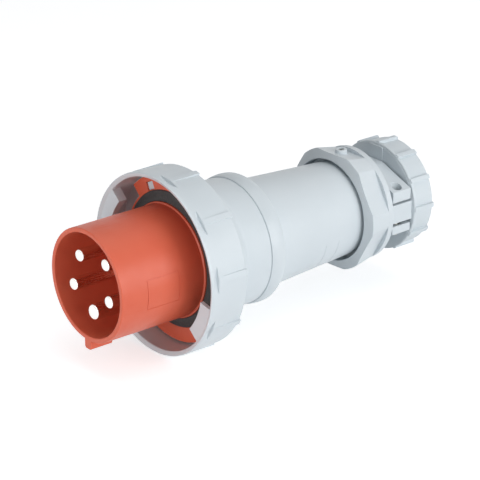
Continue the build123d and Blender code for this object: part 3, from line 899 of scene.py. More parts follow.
@dataclass
class Housing:
    """Grey housing: drum, shoulder with its cove, barrel, bead, taper and neck, and three latches."""

    at: Places
    spigot_bore: float = 37.7
    spigot_play: float = 0.2
    wire_groove_inner: float = 40.55
    wire_groove_outer: float = 42.85
    wire_groove_rear: float = 70.6
    drum_radius: float = 45.7
    shoulder_front: float = 72.6
    shoulder_rear: float = 76.0
    shoulder_radius: float = 53.6
    cove_middle: float = 80.96
    cove_radius: float = 45.03
    cove_ease: float = 8.6
    barrel_front: float = 90.0
    barrel_radius: float = 41.0
    bead_front: float = 109.3
    barrel_rear_radius: float = 40.1
    parting_width: float = 0.4
    parting_depth: float = 0.12
    bead_front_radius: float = 40.7
    bead_middle: float = 114.6
    bead_radius: float = 41.75
    bead_top_ease: float = 2.6
    bead_rear: float = 121.2
    bead_rear_radius: float = 41.05
    bead_ease: float = 3.0
    taper_front_radius: float = 35.2
    taper_rear: float = 196.6
    taper_rear_radius: float = 30.7
    tail_rear: float = 197.8
    neck_radius: float = 27.7
    neck_bore: float = 23.5
    neck_bore_front: float = 190.0
    wall: float = 3.3
    stop_angle: float = 60.0
    stop_span: float = 7.0
    stop_radius: float = 47.9
    stop_root: float = 1.0
    stop_overlap: float = 0.3
    latch_front: float = 64.8
    latch_inner: float = 43.8
    latch_outer: float = 48.7
    latch_half_width: float = 3.2
    latch_overlap: float = 0.5
    mark_stations: tuple[float, float] = (161.0, 172.0)
    mark_width: float = 0.35
    mark_depth: float = 0.16
    mark_span: float = 62.0
    mark_middle: float = -42.0
    mark_headroom: float = 2.0

    def build(self) -> None:
        """Make the housing."""
        stock = self.turn_shell()
        stock.joined(self.form_stop(), Join.ADD)
        stock.joined(self.form_latches(), Join.ADD)
        stock.joined(self.engrave_marks(), Join.CUT)
        stock.finished("housing_moulding", Body.PLUG, Slot.GREY, "housing")

    def turn_shell(self) -> Stock:
        """Turn the housing's outside and its room for the cores in one."""
        at, inner_rear = self.at, self.bead_rear - self.wall
        parting_floor = self.barrel_rear_radius - self.parting_depth
        parting_rear = self.bead_front + self.parting_width
        return Stock.turned([
            Corner(at.flange_rear, self.spigot_bore, Ease.SMALL),
            Corner(at.flange_rear, self.wire_groove_inner, Ease.SLIGHT),
            Corner(self.wire_groove_rear, self.wire_groove_inner, Ease.SLIGHT),
            Corner(self.wire_groove_rear, self.wire_groove_outer, Ease.SLIGHT),
            Corner(at.flange_rear, self.wire_groove_outer, Ease.SLIGHT),
            Corner(at.flange_rear, self.drum_radius, Ease.SMALL),
            Corner(self.shoulder_front, self.drum_radius, Ease.SMALL),
            Corner(self.shoulder_front, self.shoulder_radius, Ease.FULL),
            Corner(self.shoulder_rear, self.shoulder_radius, Ease.SOFT),
            Corner(self.cove_middle, self.cove_radius, self.cove_ease),
            Corner(self.barrel_front, self.barrel_radius, Ease.ROUND),
            Corner(self.bead_front, self.barrel_rear_radius, Ease.CRISP),
            Corner(self.bead_front, parting_floor, Ease.HAIR),
            Corner(parting_rear, parting_floor, Ease.HAIR),
            Corner(parting_rear, self.bead_front_radius, Ease.SMALL),
            Corner(self.bead_middle, self.bead_radius, self.bead_top_ease),
            Corner(self.bead_rear, self.bead_rear_radius, self.bead_ease),
            Corner(self.bead_rear, self.taper_front_radius, Ease.SOFT),
            Corner(self.taper_rear, self.taper_rear_radius, Ease.ROUND),
            Corner(self.tail_rear, self.neck_radius, Ease.SLIGHT),
            Corner(at.neck_rear, self.neck_radius, Ease.SOFT),
            Corner(at.neck_rear, self.neck_bore, Ease.PLAIN),
            Corner(self.neck_bore_front, self.neck_bore, Ease.LARGE),
            Corner(self.neck_bore_front - self.wall, self.taper_rear_radius - self.wall, Ease.LARGE),
            Corner(inner_rear, self.taper_front_radius - self.wall, Ease.BROAD),
            Corner(inner_rear, self.barrel_rear_radius - self.wall, Ease.BROAD),
            Corner(at.spigot_rear + self.spigot_play, self.spigot_bore),
        ])

    def form_stop(self) -> Stock:
        """Make the stop on the drum that ends the ring's turn."""
        front, rear = self.at.ring_web_front, self.shoulder_front + self.stop_overlap
        stop = Stock.arched([
            Corner(front, self.drum_radius - self.stop_root),
            Corner(rear, self.drum_radius - self.stop_root),
            Corner(rear, self.stop_radius),
            Corner(front, self.stop_radius, Ease.SMALL),
        ], self.stop_span, Steps.STOP)
        return stop.moved(about_axis(self.stop_angle))

    def form_latches(self) -> Stock:
        """Make the latches that stand in the flange's windows."""
        rear = self.at.flange_rear + self.latch_overlap
        latch = Stock.block(Vector((self.latch_front, -self.latch_half_width, self.latch_inner)),
                            Vector((rear, self.latch_half_width, self.latch_outer)), Ease.SLIGHT)
        return latch.copied(about_axis(angle) for angle in LATCH_ANGLES)

    def taper_radius(self, station: float) -> float:
        """Radius of the taper's outside at a place along the axis."""
        share = (station - self.bead_rear) / (self.taper_rear - self.bead_rear)
        return self.taper_front_radius + (self.taper_rear_radius - self.taper_front_radius) * share

    def engrave_marks(self) -> Stock:
        """Make the tools that engrave two fine arcs low on the taper, where its mould parts."""
        arcs = []
        for station in self.mark_stations:
            floor = self.taper_radius(station) - self.mark_depth
            profile = oblong(station, station + self.mark_width, floor, floor + self.mark_headroom)
            arcs.append(Stock.arched(profile, self.mark_span, Steps.MARK).moved(about_axis(self.mark_middle)))
        return Stock.gathered(arcs)


@dataclass
class GlandBody:
    """Grey gland body: collar with flats and a boss, two webs, a thread ring and the window between them."""

    at: Places
    collar_front: float = 191.0
    mouth_radius: float = 33.4
    lip_radius: float = 34.1
    collar_radius: float = 40.3
    collar_rear_radius: float = 37.4
    collar_bore: float = 28.0
    mouth_floor: float = 199.0
    cable_room: float = 22.0
    shoulder: float = 207.8
    flat_count: int = 6
    flat_first_angle: float = 30.0
    flat_front_inset: float = 37.7
    flat_rear_inset: float = 34.7
    flat_half_width: float = 26.0
    flat_headroom: float = 4.0
    boss_station: float = 201.1
    boss_radius: float = 3.85
    boss_root: float = 29.0
    boss_top: float = 38.9
    boss_bore: float = 2.25
    web_inner: float = 21.1
    web_outer: float = 34.0
    web_half_height: float = 6.3
    web_overlap: float = 0.6
    screw_offset: float = 29.0
    screw_hole: float = 2.4
    rear_flange_radius: float = 34.8
    rear_flange_bore: float = 20.0
    thread_radius: float = 31.0
    thread_rise: float = 0.32
    thread_pitch: float = 3.0
    chamber_front: float = 233.0
    chamber_radius: float = 24.0
    rib_half_width: float = 6.0
    rib_height: float = 0.65
    rib_inner: float = 24.0
    rib_outer: float = 34.4
    rib_overlap: float = 0.4
    rib_ease: float = 0.18
    ridge_turns: float = 3.4
    ridge_start: float = 1.0
    ridge_sink: float = 0.12
    ridge_rise: float = 0.06
    ridge_crest: tuple[float, float] = (0.8, 1.3)
    ridge_width: float = 2.1

    def build(self) -> None:
        """Make the body and its screwed-in thread ridge."""
        stock = self.turn_collar()
        stock.joined(self.cut_flats(), Join.CUT)
        stock.joined(self.form_boss(), Join.ADD)
        stock.joined(self.bore_boss(), Join.CUT)
        stock.joined(self.form_webs(), Join.ADD)
        stock.joined(self.turn_thread_ring(), Join.ADD)
        stock.joined(self.form_guide_ribs(), Join.ADD)
        stock.joined(self.bore_webs(), Join.CUT)
        stock.finished("gland_body_moulding", Body.PLUG, Slot.GREY, "gland_body")
        self.wind_thread().finished("gland_thread_ridge", Body.PLUG, Slot.GREY)

    def turn_collar(self) -> Stock:
        """Turn the collar that is screwed on the neck, with its chamfered mouth and its rear flange."""
        at = self.at
        return Stock.turned([
            Corner(self.collar_front, self.mouth_radius, Ease.SLIGHT),
            Corner(self.collar_front, self.lip_radius, Ease.SMALL),
            Corner(at.hex_front, self.collar_radius, Ease.FULL),
            Corner(at.hex_rear, self.collar_rear_radius, Ease.SMALL),
            Corner(at.gland_flange_rear, self.collar_rear_radius, Ease.FULL),
            Corner(at.gland_flange_rear, self.cable_room, Ease.PLAIN),
            Corner(self.shoulder, self.cable_room, Ease.SMALL),
            Corner(self.shoulder, self.collar_bore),
            Corner(self.mouth_floor, self.collar_bore),
            Corner(self.mouth_floor, self.mouth_radius, Ease.SOFT),
        ])

    def cut_flats(self) -> Stock:
        """Make the tools that cut six flats for a wrench, which stop at the rear flange."""
        at = self.at
        start, top = self.collar_front - OVERRUN, self.collar_radius + self.flat_headroom
        rise = (self.flat_front_inset - self.flat_rear_inset) / (at.hex_rear - at.hex_front)
        tool = Stock.drawn([
            Corner(start, self.flat_front_inset + rise * (at.hex_front - start)),
            Corner(at.hex_rear, self.flat_rear_inset),
            Corner(at.hex_rear, top),
            Corner(start, top),
        ], beside_plane(-self.flat_half_width), Vector((0.0, 2 * self.flat_half_width, 0.0)))
        return tool.copied(spread(self.flat_first_angle, self.flat_count))

    def form_boss(self) -> Stock:
        """Make the round boss for the lock screw."""
        boss = Stock.rod(self.boss_root, self.boss_top, self.boss_radius, Steps.BOSS, Ease.PLAIN)
        return boss.raised().moved(shifted(self.boss_station))

    def bore_boss(self) -> Stock:
        """Make the tool that bores the boss down to the neck."""
        bit = Stock.rod(self.collar_bore - OVERRUN, self.boss_top + OVERRUN, self.boss_bore, Steps.SCREW)
        return bit.raised().moved(shifted(self.boss_station))

    def form_webs(self) -> Stock:
        """Make the two webs that carry the thread ring and the clamp's screws."""
        front, rear = self.at.gland_flange_rear - self.web_overlap, self.at.window_rear + self.web_overlap
        webs, high = [], self.web_half_height
        for side in (1, -1):
            inner, outer = sorted((side * self.web_inner, side * self.web_outer))
            outline = [Corner(inner, -high, Ease.PLAIN), Corner(outer, -high, Ease.PLAIN),
                       Corner(outer, high, Ease.PLAIN), Corner(inner, high, Ease.PLAIN)]
            webs.append(Stock.drawn(outline, cross_plane(front), Vector((rear - front, 0.0, 0.0))))
        return Stock.gathered(webs)

    def bore_webs(self) -> Stock:
        """Make the tools that bore both webs for the clamp's screws."""
        reach = self.web_half_height + OVERRUN
        bit = Stock.rod(-reach, reach, self.screw_hole, Steps.SCREW).raised()
        return bit.copied(shifted(self.at.clamp_middle, side * self.screw_offset) for side in (1, -1))

    def turn_thread_ring(self) -> Stock:
        """Turn the rear flange and the threaded ring with the bush's chamber."""
        at = self.at
        return Stock.turned([
            Corner(at.window_rear, self.rear_flange_bore, Ease.SMALL),
            Corner(at.window_rear, self.rear_flange_radius, Ease.HAIR),
            Corner(at.rear_flange_rear, self.rear_flange_radius, Ease.HAIR),
            Corner(at.rear_flange_rear, self.thread_radius - self.thread_rise),
            Corner(at.thread_rear, self.thread_radius - self.thread_rise, Ease.SOFT),
            Corner(at.thread_rear, self.chamber_radius, Ease.PLAIN),
            Corner(self.chamber_front, self.chamber_radius, Ease.SLIGHT),
            Corner(self.chamber_front, self.rear_flange_bore, Ease.SMALL),
        ])

    def form_guide_ribs(self) -> Stock:
        """Make the low ribs above and below the window that guide the clamp halves."""
        wide, rear = self.rib_half_width, self.at.window_rear
        rib = Stock.block(Vector((rear - self.rib_height, -wide, self.rib_inner)),
                          Vector((rear + self.rib_overlap, wide, self.rib_outer)), self.rib_ease)
        return rib.copied(about_axis(angle) for angle in (90.0, -90.0))

    def wind_thread(self) -> Stock:
        """Wind the ridge of the thread round its ring."""
        root = self.thread_radius - self.thread_rise - self.ridge_sink
        crest = root + self.thread_rise + self.ridge_rise
        start = self.at.rear_flange_rear + self.ridge_start
        bm = Stock.lay_profile([
            Corner(start, root),
            *(Corner(start + step, crest, Ease.CRISP) for step in self.ridge_crest),
            Corner(start + self.ridge_width, root),
        ], turned_plane)
        bmesh.ops.spin(bm, geom=bm.faces[:], cent=(0.0, 0.0, 0.0), axis=(1.0, 0.0, 0.0), use_merge=False,
                       dvec=(self.thread_pitch / Steps.THREAD, 0.0, 0.0), angle=tau * self.ridge_turns,
                       steps=round(Steps.THREAD * self.ridge_turns))
        return Stock(bm).cleaned()


@dataclass
class CableClamp:
    """Two saddle halves over and under the cable, with two slotted screws and their nuts."""

    at: Places
    length: float = 15.4
    front: float = 215.5
    jaw_radius: float = 16.5
    reach: float = 34.0
    upper_foot: float = 7.8
    upper_ear_top: float = 15.0
    lower_foot: float = 8.2
    lower_ear_top: float = 13.6
    roof: float = 25.5
    roof_half_width: float = 7.0
    screw_offset: float = 29.0
    seat_height: float = 9.7
    head_room: float = 3.55
    head_radius: float = 3.3
    head_height: float = 2.8
    shank_room: float = 2.4
    shank_radius: float = 2.0
    shank_end: float = -16.0
    slot_width: float = 1.0
    slot_depth: float = 1.1
    nut_flats: float = 7.0
    nut_height: float = 3.2
    nut_play: float = 0.1
    slot_reach: float = 5.0
    thread_pitch: float = 0.8
    thread_depth: float = 0.16
    thread_play: float = 0.05
    thread_lead: float = 0.7
    tip_step: float = 0.5
    plain_shank: float = 5.0

    def build(self) -> None:
        """Make both halves, the screws and the nuts."""
        self.form_half(1, self.upper_foot, self.upper_ear_top).finished(
            "clamp_saddle_upper", Body.UPPER, Slot.GREY, "clamp_upper")
        self.form_half(-1, self.lower_foot, self.lower_ear_top).finished(
            "clamp_saddle_lower", Body.LOWER, Slot.GREY, "clamp_lower")
        self.form_screw().copied(self.screw_places()).finished(
            "clamp_screw_pair", Body.UPPER, Slot.STEEL, "clamp_screws")
        self.form_nut().copied(self.screw_places()).finished(
            "clamp_nut_pair", Body.LOWER, Slot.STEEL, "clamp_nuts")

    def screw_places(self) -> list[Matrix]:
        """Moves from the plug's axis to both screws' axes."""
        return [shifted(self.at.clamp_middle, side * self.screw_offset) for side in (1, -1)]

    def form_half(self, side: int, foot: float, ear_top: float) -> Stock:
        """Make one half, cut for the cable, its screws and their heads or nuts.

        Args:
            side: 1 for the upper half, -1 for the lower one.
            foot: Height of its foot.
            ear_top: Height of its ears.

        Returns:
            The half.
        """
        top, roof, wide = side * ear_top, side * self.roof, self.roof_half_width
        outline = [Corner(-self.reach, side * foot), Corner(-self.reach, top, Ease.SMALL),
                   Corner(-wide, roof, Ease.GREAT), Corner(wide, roof, Ease.GREAT),
                   Corner(self.reach, top, Ease.SMALL), Corner(self.reach, side * foot)]
        half = Stock.drawn(outline, cross_plane(self.front), Vector((self.length, 0.0, 0.0)))
        rear = self.front + self.length
        half.joined(Stock.rod(self.front - OVERRUN, rear + OVERRUN, self.jaw_radius, Steps.BUSH), Join.CUT)
        half.joined(self.sink_screws(side), Join.CUT)
        return half.eased(Ease.PLAIN)

    def sink_screws(self, side: int) -> Stock:
        """Make the tools that bore one half for its screws and sink their heads or nuts.

        Args:
            side: 1 for the upper half, -1 for the lower one.

        Returns:
            The tools.
        """
        low, high = sorted((side * (self.upper_foot - 2 * OVERRUN), side * (self.roof + OVERRUN)))
        tool = Stock.rod(low, high, self.shank_room, Steps.SCREW).raised()
        if side > 0:
            seat = Stock.rod(self.seat_height, self.roof + OVERRUN, self.head_room, Steps.HOLE).raised()
        else:
            seat = self.hexagon(-self.lower_foot - self.nut_height, OVERRUN - self.lower_foot,
                                self.nut_flats + self.nut_play)
        tool.joined(seat, Join.ADD)
        return tool.copied(self.screw_places())

    @staticmethod
    def hexagon(low: float, high: float, flats: float, ease: float = 0.0) -> Stock:
        """Make a six sided prism that stands on the plug's axis, pointing up.

        Args:
            low: Height of its foot.
            high: Height of its top.
            flats: Width across its flats.
            ease: How much its corners are eased.

        Returns:
            The prism.
        """
        turns = [tau / SIDES * step for step in range(SIDES)]
        reach = flats / 2 / cos(tau / SIDES / 2)
        outline = [Corner(reach * cos(turn), reach * sin(turn), ease) for turn in turns]
        return Stock.drawn(outline, lambda along, across: Vector((along, across, low)),
                           Vector((0.0, 0.0, high - low)))

    def form_screw(self) -> Stock:
        """Make one screw with a slotted cheese head and a threaded shank."""
        seat, top = self.seat_height, self.seat_height + self.head_height
        thread = thread_profile(self.shank_end + self.thread_lead, seat - self.plain_shank, self.thread_pitch,
                                self.shank_radius, self.thread_depth)
        screw = Stock.turned([
            Corner(self.shank_end, 0.0),
            Corner(self.shank_end, self.shank_radius - self.tip_step),
            *thread,
            Corner(thread[-1].along + self.thread_pitch / 2, self.shank_radius),
            Corner(seat, self.shank_radius),
            Corner(seat, self.head_radius, Ease.FINE),
            Corner(top, self.head_radius, Ease.AMPLE),
            Corner(top, 0.0),
        ], Steps.SCREW).raised()
        slot = Stock.block(Vector((-self.slot_reach, -self.slot_width / 2, top - self.slot_depth)),
                           Vector((self.slot_reach, self.slot_width / 2, top + OVERRUN)))
        return screw.joined(slot, Join.CUT)

    def form_nut(self) -> Stock:
        """Make one nut, with its bore eased."""
        low, high = -self.lower_foot - self.nut_height, -self.lower_foot
        nut = self.hexagon(low, high, self.nut_flats, Ease.KEEN)
        bore = Stock.rod(low - OVERRUN, high + OVERRUN, self.shank_radius + self.thread_play, Steps.SCREW)
        return nut.joined(bore.raised(), Join.CUT).eased(Ease.KEEN)


@dataclass
class LockScrew:
    """Set screw in the collar's boss, with a hexagon socket."""

    at: Places
    station: float = 201.1
    radius: float = 2.2
    foot: float = 27.75
    top: float = 38.3
    socket_flats: float = 1.9
    socket_depth: float = 2.0
    thread_pitch: float = 0.7
    thread_depth: float = 0.15
    thread_lead: float = 0.6
    thread_end: float = 0.8
    tip_step: float = 0.5

    def build(self) -> None:
        """Make the screw."""
        thread = thread_profile(self.foot + self.thread_lead, self.top - self.thread_end, self.thread_pitch,
                                self.radius, self.thread_depth)
        screw = Stock.turned([
            Corner(self.foot, 0.0),
            Corner(self.foot, self.radius - self.tip_step),
            *thread,
            Corner(self.top, self.radius, Ease.SLIM),
            Corner(self.top, 0.0),
        ], Steps.SCREW).raised()
        socket = CableClamp.hexagon(self.top - self.socket_depth, self.top + OVERRUN, self.socket_flats)
        screw.joined(socket, Join.CUT).moved(shifted(self.station))
        screw.finished("gland_lock_screw", Body.PLUG, Slot.STEEL, "lock_screw")


@dataclass
class GlandNut:
    """Cap nut with a rim, twelve finger ribs and a rounded rear face, and the washer that it presses."""

    at: Places
    front: float = 232.4
    thread_bore: float = 31.3
    rim_radius: float = 36.2
    rim_length: float = 1.9
    radius: float = 34.8
    cable_bore: float = 18.5
    inner_face: float = 245.9
    rear_ease: float = 1.6
    rib_count: int = 12
    rib_half_width: float = 1.5
    rib_radius: float = 36.95
    rib_front_setback: float = 0.4
    rib_rear_setback: float = 0.7
    rib_root: float = 1.2
    washer_front: float = 244.2
    washer_rear: float = 245.7
    washer_radius: float = 23.7
    washer_bore: float = 19.3

    def build(self) -> None:
        """Make the nut and its washer."""
        stock = self.turn_cap().joined(self.form_ribs(), Join.ADD)
        stock.finished("gland_nut_moulding", Body.NUT, Slot.GREY, "gland_nut")
        washer = Stock.turned([
            Corner(self.washer_front, self.washer_bore, Ease.SLIGHT),
            Corner(self.washer_front, self.washer_radius, Ease.SLIGHT),
            Corner(self.washer_rear, self.washer_radius, Ease.SLIGHT),
            Corner(self.washer_rear, self.washer_bore, Ease.SLIGHT),
        ], Steps.BUSH)
        washer.finished("thrust_washer_disc", Body.WASHER, Slot.GREY, "thrust_washer")

    def turn_cap(self) -> Stock:
        """Turn the cap in one."""
        rim_rear = self.front + self.rim_length
        return Stock.turned([
            Corner(self.front, self.thread_bore, Ease.SLIGHT),
            Corner(self.front, self.rim_radius, Ease.ROUND),
            Corner(rim_rear, self.rim_radius, Ease.PLAIN),
            Corner(rim_rear, self.radius, Ease.SMALL),
            Corner(self.at.nut_rear, self.radius, self.rear_ease),
            Corner(self.at.nut_rear, self.cable_bore, Ease.SOFT),
            Corner(self.inner_face, self.cable_bore, Ease.SMALL),
            Corner(self.inner_face, self.thread_bore, Ease.FULL),
        ])

    def form_ribs(self) -> Stock:
        """Make the finger ribs, rounded over at the rear."""
        front, rear = self.front + self.rib_front_setback, self.at.nut_rear - self.rib_rear_setback
        rib = Stock.drawn([
            Corner(front, self.radius - self.rib_root),
            Corner(front, self.rib_radius, Ease.PLAIN),
            Corner(rear, self.rib_radius, Ease.BOLD),
            Corner(rear, self.radius - self.rib_root),
        ], beside_plane(-self.rib_half_width), Vector((0.0, 2 * self.rib_half_width, 0.0)), Ease.FINE)
        return rib.copied(spread(0.0, self.rib_count))


def from_srgb(red: int, green: int, blue: int) -> Colour:
    """Turn a screen colour into the linear values that a shader takes.

    Args:
        red: Red, 0 to 255.
        green: Green, 0 to 255.
        blue: Blue, 0 to 255.

    Returns:
        The linear colour.
    """
    shares = [value / SCREEN_TOP for value in (red, green, blue)]
    return tuple(share / TOE_SLOPE if share <= TOE_END
                 else ((share + CURVE_LIFT) / (1.0 + CURVE_LIFT)) ** CURVE_POWER for share in shares)


@dataclass(frozen=True)
class Pattern:
    """A noise pattern: cells to the metre, octaves, strength of the finer ones, and stretch of its axes."""

    scale: float
    detail: float = 4.0
    rough: float = 0.5
    stretch: tuple[float, float, float] = (1.0, 1.0, 1.0)


@dataclass(frozen=True)
class Relief:
    """A pattern that raises a surface, by a depth in metres and a share of the effect."""

    pattern: Pattern
    depth: float
    strength: float


class NodeSheet:
    """Adds and links the nodes of one material."""

    def __init__(self, name: str) -> None:
        """Start an empty material.

        Args:
            name: The material's name.
        """
        self.material = bpy.data.materials.new(name)
        self.material.use_nodes = True
        self.tree = self.material.node_tree
        self.tree.nodes.clear()
        self.output = self.add("ShaderNodeOutputMaterial")

    def add(self, kind: str, **settings: object) -> bpy.types.Node:
        """Add a node.

        Args:
            kind: Blender's name for the node.
            settings: Properties to set on it.

        Returns:
            The new node.
        """
        node = self.tree.nodes.new(kind)
        for key, value in settings.items():
            setattr(node, key, value)
        return node

    def link(self, source: bpy.types.NodeSocket, target: bpy.types.NodeSocket) -> None:
        """Join an output to an input."""
        self.tree.links.new(source, target)

    def noise(self, pattern: Pattern) -> bpy.types.NodeSocket:
        """Add a noise pattern in the object's own space, and give its value."""
        place = self.add("ShaderNodeTexCoord")
        mapping = self.add("ShaderNodeMapping")
        mapping.inputs["Scale"].default_value = pattern.stretch
        node = self.add("ShaderNodeTexNoise")
        node.inputs["Scale"].default_value = pattern.scale
        node.inputs["Detail"].default_value = pattern.detail
        node.inputs["Roughness"].default_value = pattern.rough
        self.link(place.outputs["Object"], mapping.inputs["Vector"])
        self.link(mapping.outputs["Vector"], node.inputs["Vector"])
        return node.outputs["Fac"]

    def ranged(self, value: bpy.types.NodeSocket, low: float = 0.0, high: float = 1.0,
               stretch: tuple[float, float] = (0.3, 0.7)) -> bpy.types.NodeSocket:
        """Spread a stretch of a pattern over a new range.

        Args:
            value: The pattern.
            low: Result at the stretch's start.
            high: Result at its end.
            stretch: The pattern's values where the stretch starts and ends.

        Returns:
            The new value.
        """
        node = self.add("ShaderNodeMapRange")
        for name, level in zip(("From Min", "From Max", "To Min", "To Max"), (*stretch, low, high)):
            node.inputs[name].default_value = level
        self.link(value, node.inputs["Value"])
        return node.outputs["Result"]

    def summed(self, first: bpy.types.NodeSocket, second: bpy.types.NodeSocket) -> bpy.types.NodeSocket:
        """Add two patterns.

        Args:
            first: One pattern.
            second: The other pattern.

        Returns:
            Their sum, kept between 0 and 1.
        """
        node = self.add("ShaderNodeMath", operation="ADD", use_clamp=True)
        self.link(first, node.inputs[0])
        self.link(second, node.inputs[1])
        return node.outputs[0]

    def blend(self, share: bpy.types.NodeSocket, first: Colour, second: Colour) -> bpy.types.NodeSocket:
        """Mix two colours by a pattern.

        Args:
            share: The pattern, 0 for the first colour.
            first: Linear colour.
            second: Linear colour.

        Returns:
            The mixed colour.
        """
        node = self.add("ShaderNodeMix", data_type="RGBA")
        node.inputs[FIRST_COLOUR].default_value = (*first, 1.0)
        node.inputs[SECOND_COLOUR].default_value = (*second, 1.0)
        self.link(share, node.inputs["Factor"])
        return node.outputs[2]

    def bump(self, relief: Relief, under: bpy.types.NodeSocket | None = None) -> bpy.types.NodeSocket:
        """Raise the surface by a pattern.

        Args:
            relief: The pattern and how much it raises.
            under: Normal of a coarser bump below this one.

        Returns:
            The normal.
        """
        node = self.add("ShaderNodeBump")
        node.inputs["Distance"].default_value = relief.depth
        node.inputs["Strength"].default_value = relief.strength
        self.link(self.noise(relief.pattern), node.inputs["Height"])
        if under:
            self.link(under, node.inputs["Normal"])
        return node.outputs["Normal"]

    def dressed(self, colour: bpy.types.NodeSocket, gloss: bpy.types.NodeSocket, normal: bpy.types.NodeSocket,
                levels: dict[str, float]) -> bpy.types.Material:
        """Join everything in one surface shader.

        Args:
            colour: Its base colour.
            gloss: Its roughness.
            normal: Its normal.
            levels: Plain values of other inputs by their names.

        Returns:
            The finished material.
        """
        shader = self.add("ShaderNodeBsdfPrincipled")
        for name, level in levels.items():
            shader.inputs[name].default_value = level
        for name, source in (("Base Color", colour), ("Roughness", gloss), ("Normal", normal)):
            self.link(source, shader.inputs[name])
        self.link(shader.outputs["BSDF"], self.output.inputs["Surface"])
        return self.material


@dataclass(frozen=True)
class MouldedPlastic:
    """Satin moulded plastic: faint flow clouds, a spark eroded grain, uneven gloss and fine scuffs."""

    name: str
    colour: Colour
    cloud_colour: Colour
    gloss_low: float
    gloss_high: float
    clouds: Pattern = Pattern(28.0, 5.0)
    gloss: Pattern = Pattern(160.0, 6.0, 0.6)
    scuffs: Pattern = Pattern(700.0, 3.0, 0.5, (0.08, 1.0, 1.0))
    scuff_stretch: tuple[float, float] = (0.62, 0.7)
    scuff_gloss: float = 0.12
    waves: Relief = Relief(Pattern(90.0, 2.0), 0.00012, 0.25)
    grain: Relief = Relief(Pattern(5200.0, 3.0), 0.00003, 0.35)
    sheen_level: float = 0.45

    def build(self) -> bpy.types.Material:
        """Make the material."""
        sheet = NodeSheet(self.name)
        colour = sheet.blend(sheet.ranged(sheet.noise(self.clouds)), self.colour, self.cloud_colour)
        even = sheet.ranged(sheet.noise(self.gloss), self.gloss_low, self.gloss_high)
        scuffs = sheet.ranged(sheet.noise(self.scuffs), 0.0, self.scuff_gloss, self.scuff_stretch)
        normal = sheet.bump(self.grain, sheet.bump(self.waves))
        levels = {"Specular IOR Level": self.sheen_level}
        return sheet.dressed(colour, sheet.summed(even, scuffs), normal, levels)


@dataclass(frozen=True)
class SealRubber:
    """Dull moulded rubber with a fine talc bloom."""

    name: str
    colour: Colour
    bloom_colour: Colour
    bloom: Pattern = Pattern(420.0, 8.0, 0.65)
    gloss: Pattern = Pattern(900.0, 4.0)
    gloss_low: float = 0.5
    gloss_high: float = 0.75
    grain: Relief = Relief(Pattern(3000.0, 4.0), 0.00004, 0.4)
    sheen_level: float = 0.4

    def build(self) -> bpy.types.Material:
        """Make the material."""
        sheet = NodeSheet(self.name)
        colour = sheet.blend(sheet.ranged(sheet.noise(self.bloom)), self.colour, self.bloom_colour)
        gloss = sheet.ranged(sheet.noise(self.gloss), self.gloss_low, self.gloss_high)
        return sheet.dressed(colour, gloss, sheet.bump(self.grain), {"Specular IOR Level": self.sheen_level})


@dataclass(frozen=True)
class PlatedMetal:
    """Plated metal with fine drawn lines along it, faint clouds in its gloss and a little handling."""

    name: str
    colour: Colour
    worn_colour: Colour
    gloss_low: float
    gloss_high: float
    clouds: Pattern = Pattern(230.0, 6.0, 0.6)
    gloss: Pattern = Pattern(600.0, 5.0)
    handling: Pattern = Pattern(90.0, 7.0, 0.7)
    handling_stretch: tuple[float, float] = (0.5, 0.68)
    handling_gloss: float = 0.08
    lines: Relief = Relief(Pattern(4200.0, 2.0, 0.5, (0.02, 1.0, 1.0)), 0.000008, 0.3)

    def build(self) -> bpy.types.Material:
        """Make the material."""
        sheet = NodeSheet(self.name)
        colour = sheet.blend(sheet.ranged(sheet.noise(self.clouds)), self.colour, self.worn_colour)
        gloss = sheet.ranged(sheet.noise(self.gloss), self.gloss_low, self.gloss_high)
        handling = sheet.ranged(sheet.noise(self.handling), 0.0, self.handling_gloss, self.handling_stretch)
        return sheet.dressed(colour, sheet.summed(gloss, handling), sheet.bump(self.lines), {"Metallic": 1.0})


FINISHES = {
    Slot.RED: MouldedPlastic("signal_red_plastic", from_srgb(220, 104, 75), from_srgb(215, 96, 68),
                             0.36, 0.48),
    Slot.GREY: MouldedPlastic("light_grey_plastic", from_srgb(213, 221, 226), from_srgb(208, 217, 222),
                              0.3, 0.42),
    Slot.RUBBER: SealRubber("seal_rubber", from_srgb(58, 58, 58), from_srgb(70, 70, 70)),
    Slot.NICKEL: PlatedMetal("bright_nickel", from_srgb(250, 249, 246), from_srgb(241, 239, 234), 0.05, 0.12),
    Slot.STEEL: PlatedMetal("zinc_plated_steel", from_srgb(200, 202, 200), from_srgb(176, 178, 176),
                            0.24, 0.4),
}


def aimed(place: Vector, target: Vector) -> Matrix:
    """Give the place and turn of a lamp or camera that looks at a target."""
    return Matrix.Translation(place) @ (target - place).to_track_quat("-Z", "Y").to_matrix().to_4x4()


def stand(name: str, data: bpy.types.ID, where: Matrix) -> bpy.types.Object:
    """Put a lamp or camera into the scene."""
    thing = bpy.data.objects.new(name, data)
    thing.matrix_world = where
    bpy.context.scene.collection.objects.link(thing)
    return thing


@dataclass(frozen=True)
class Lamp:
    """A square soft lamp that points at the plug."""

    name: str
    place: tuple[float, float, float]
    side: float
    power: float
    target: tuple[float, float, float] = (0.12, 0.0, 0.0)

    def hang(self) -> None:
        """Hang the lamp in the scene."""
        data = bpy.data.lights.new(self.name, "AREA")
        data.shape = "SQUARE"
        data.size = self.side
        data.energy = self.power
        stand(self.name, data, aimed(Vector(self.place), Vector(self.target)))


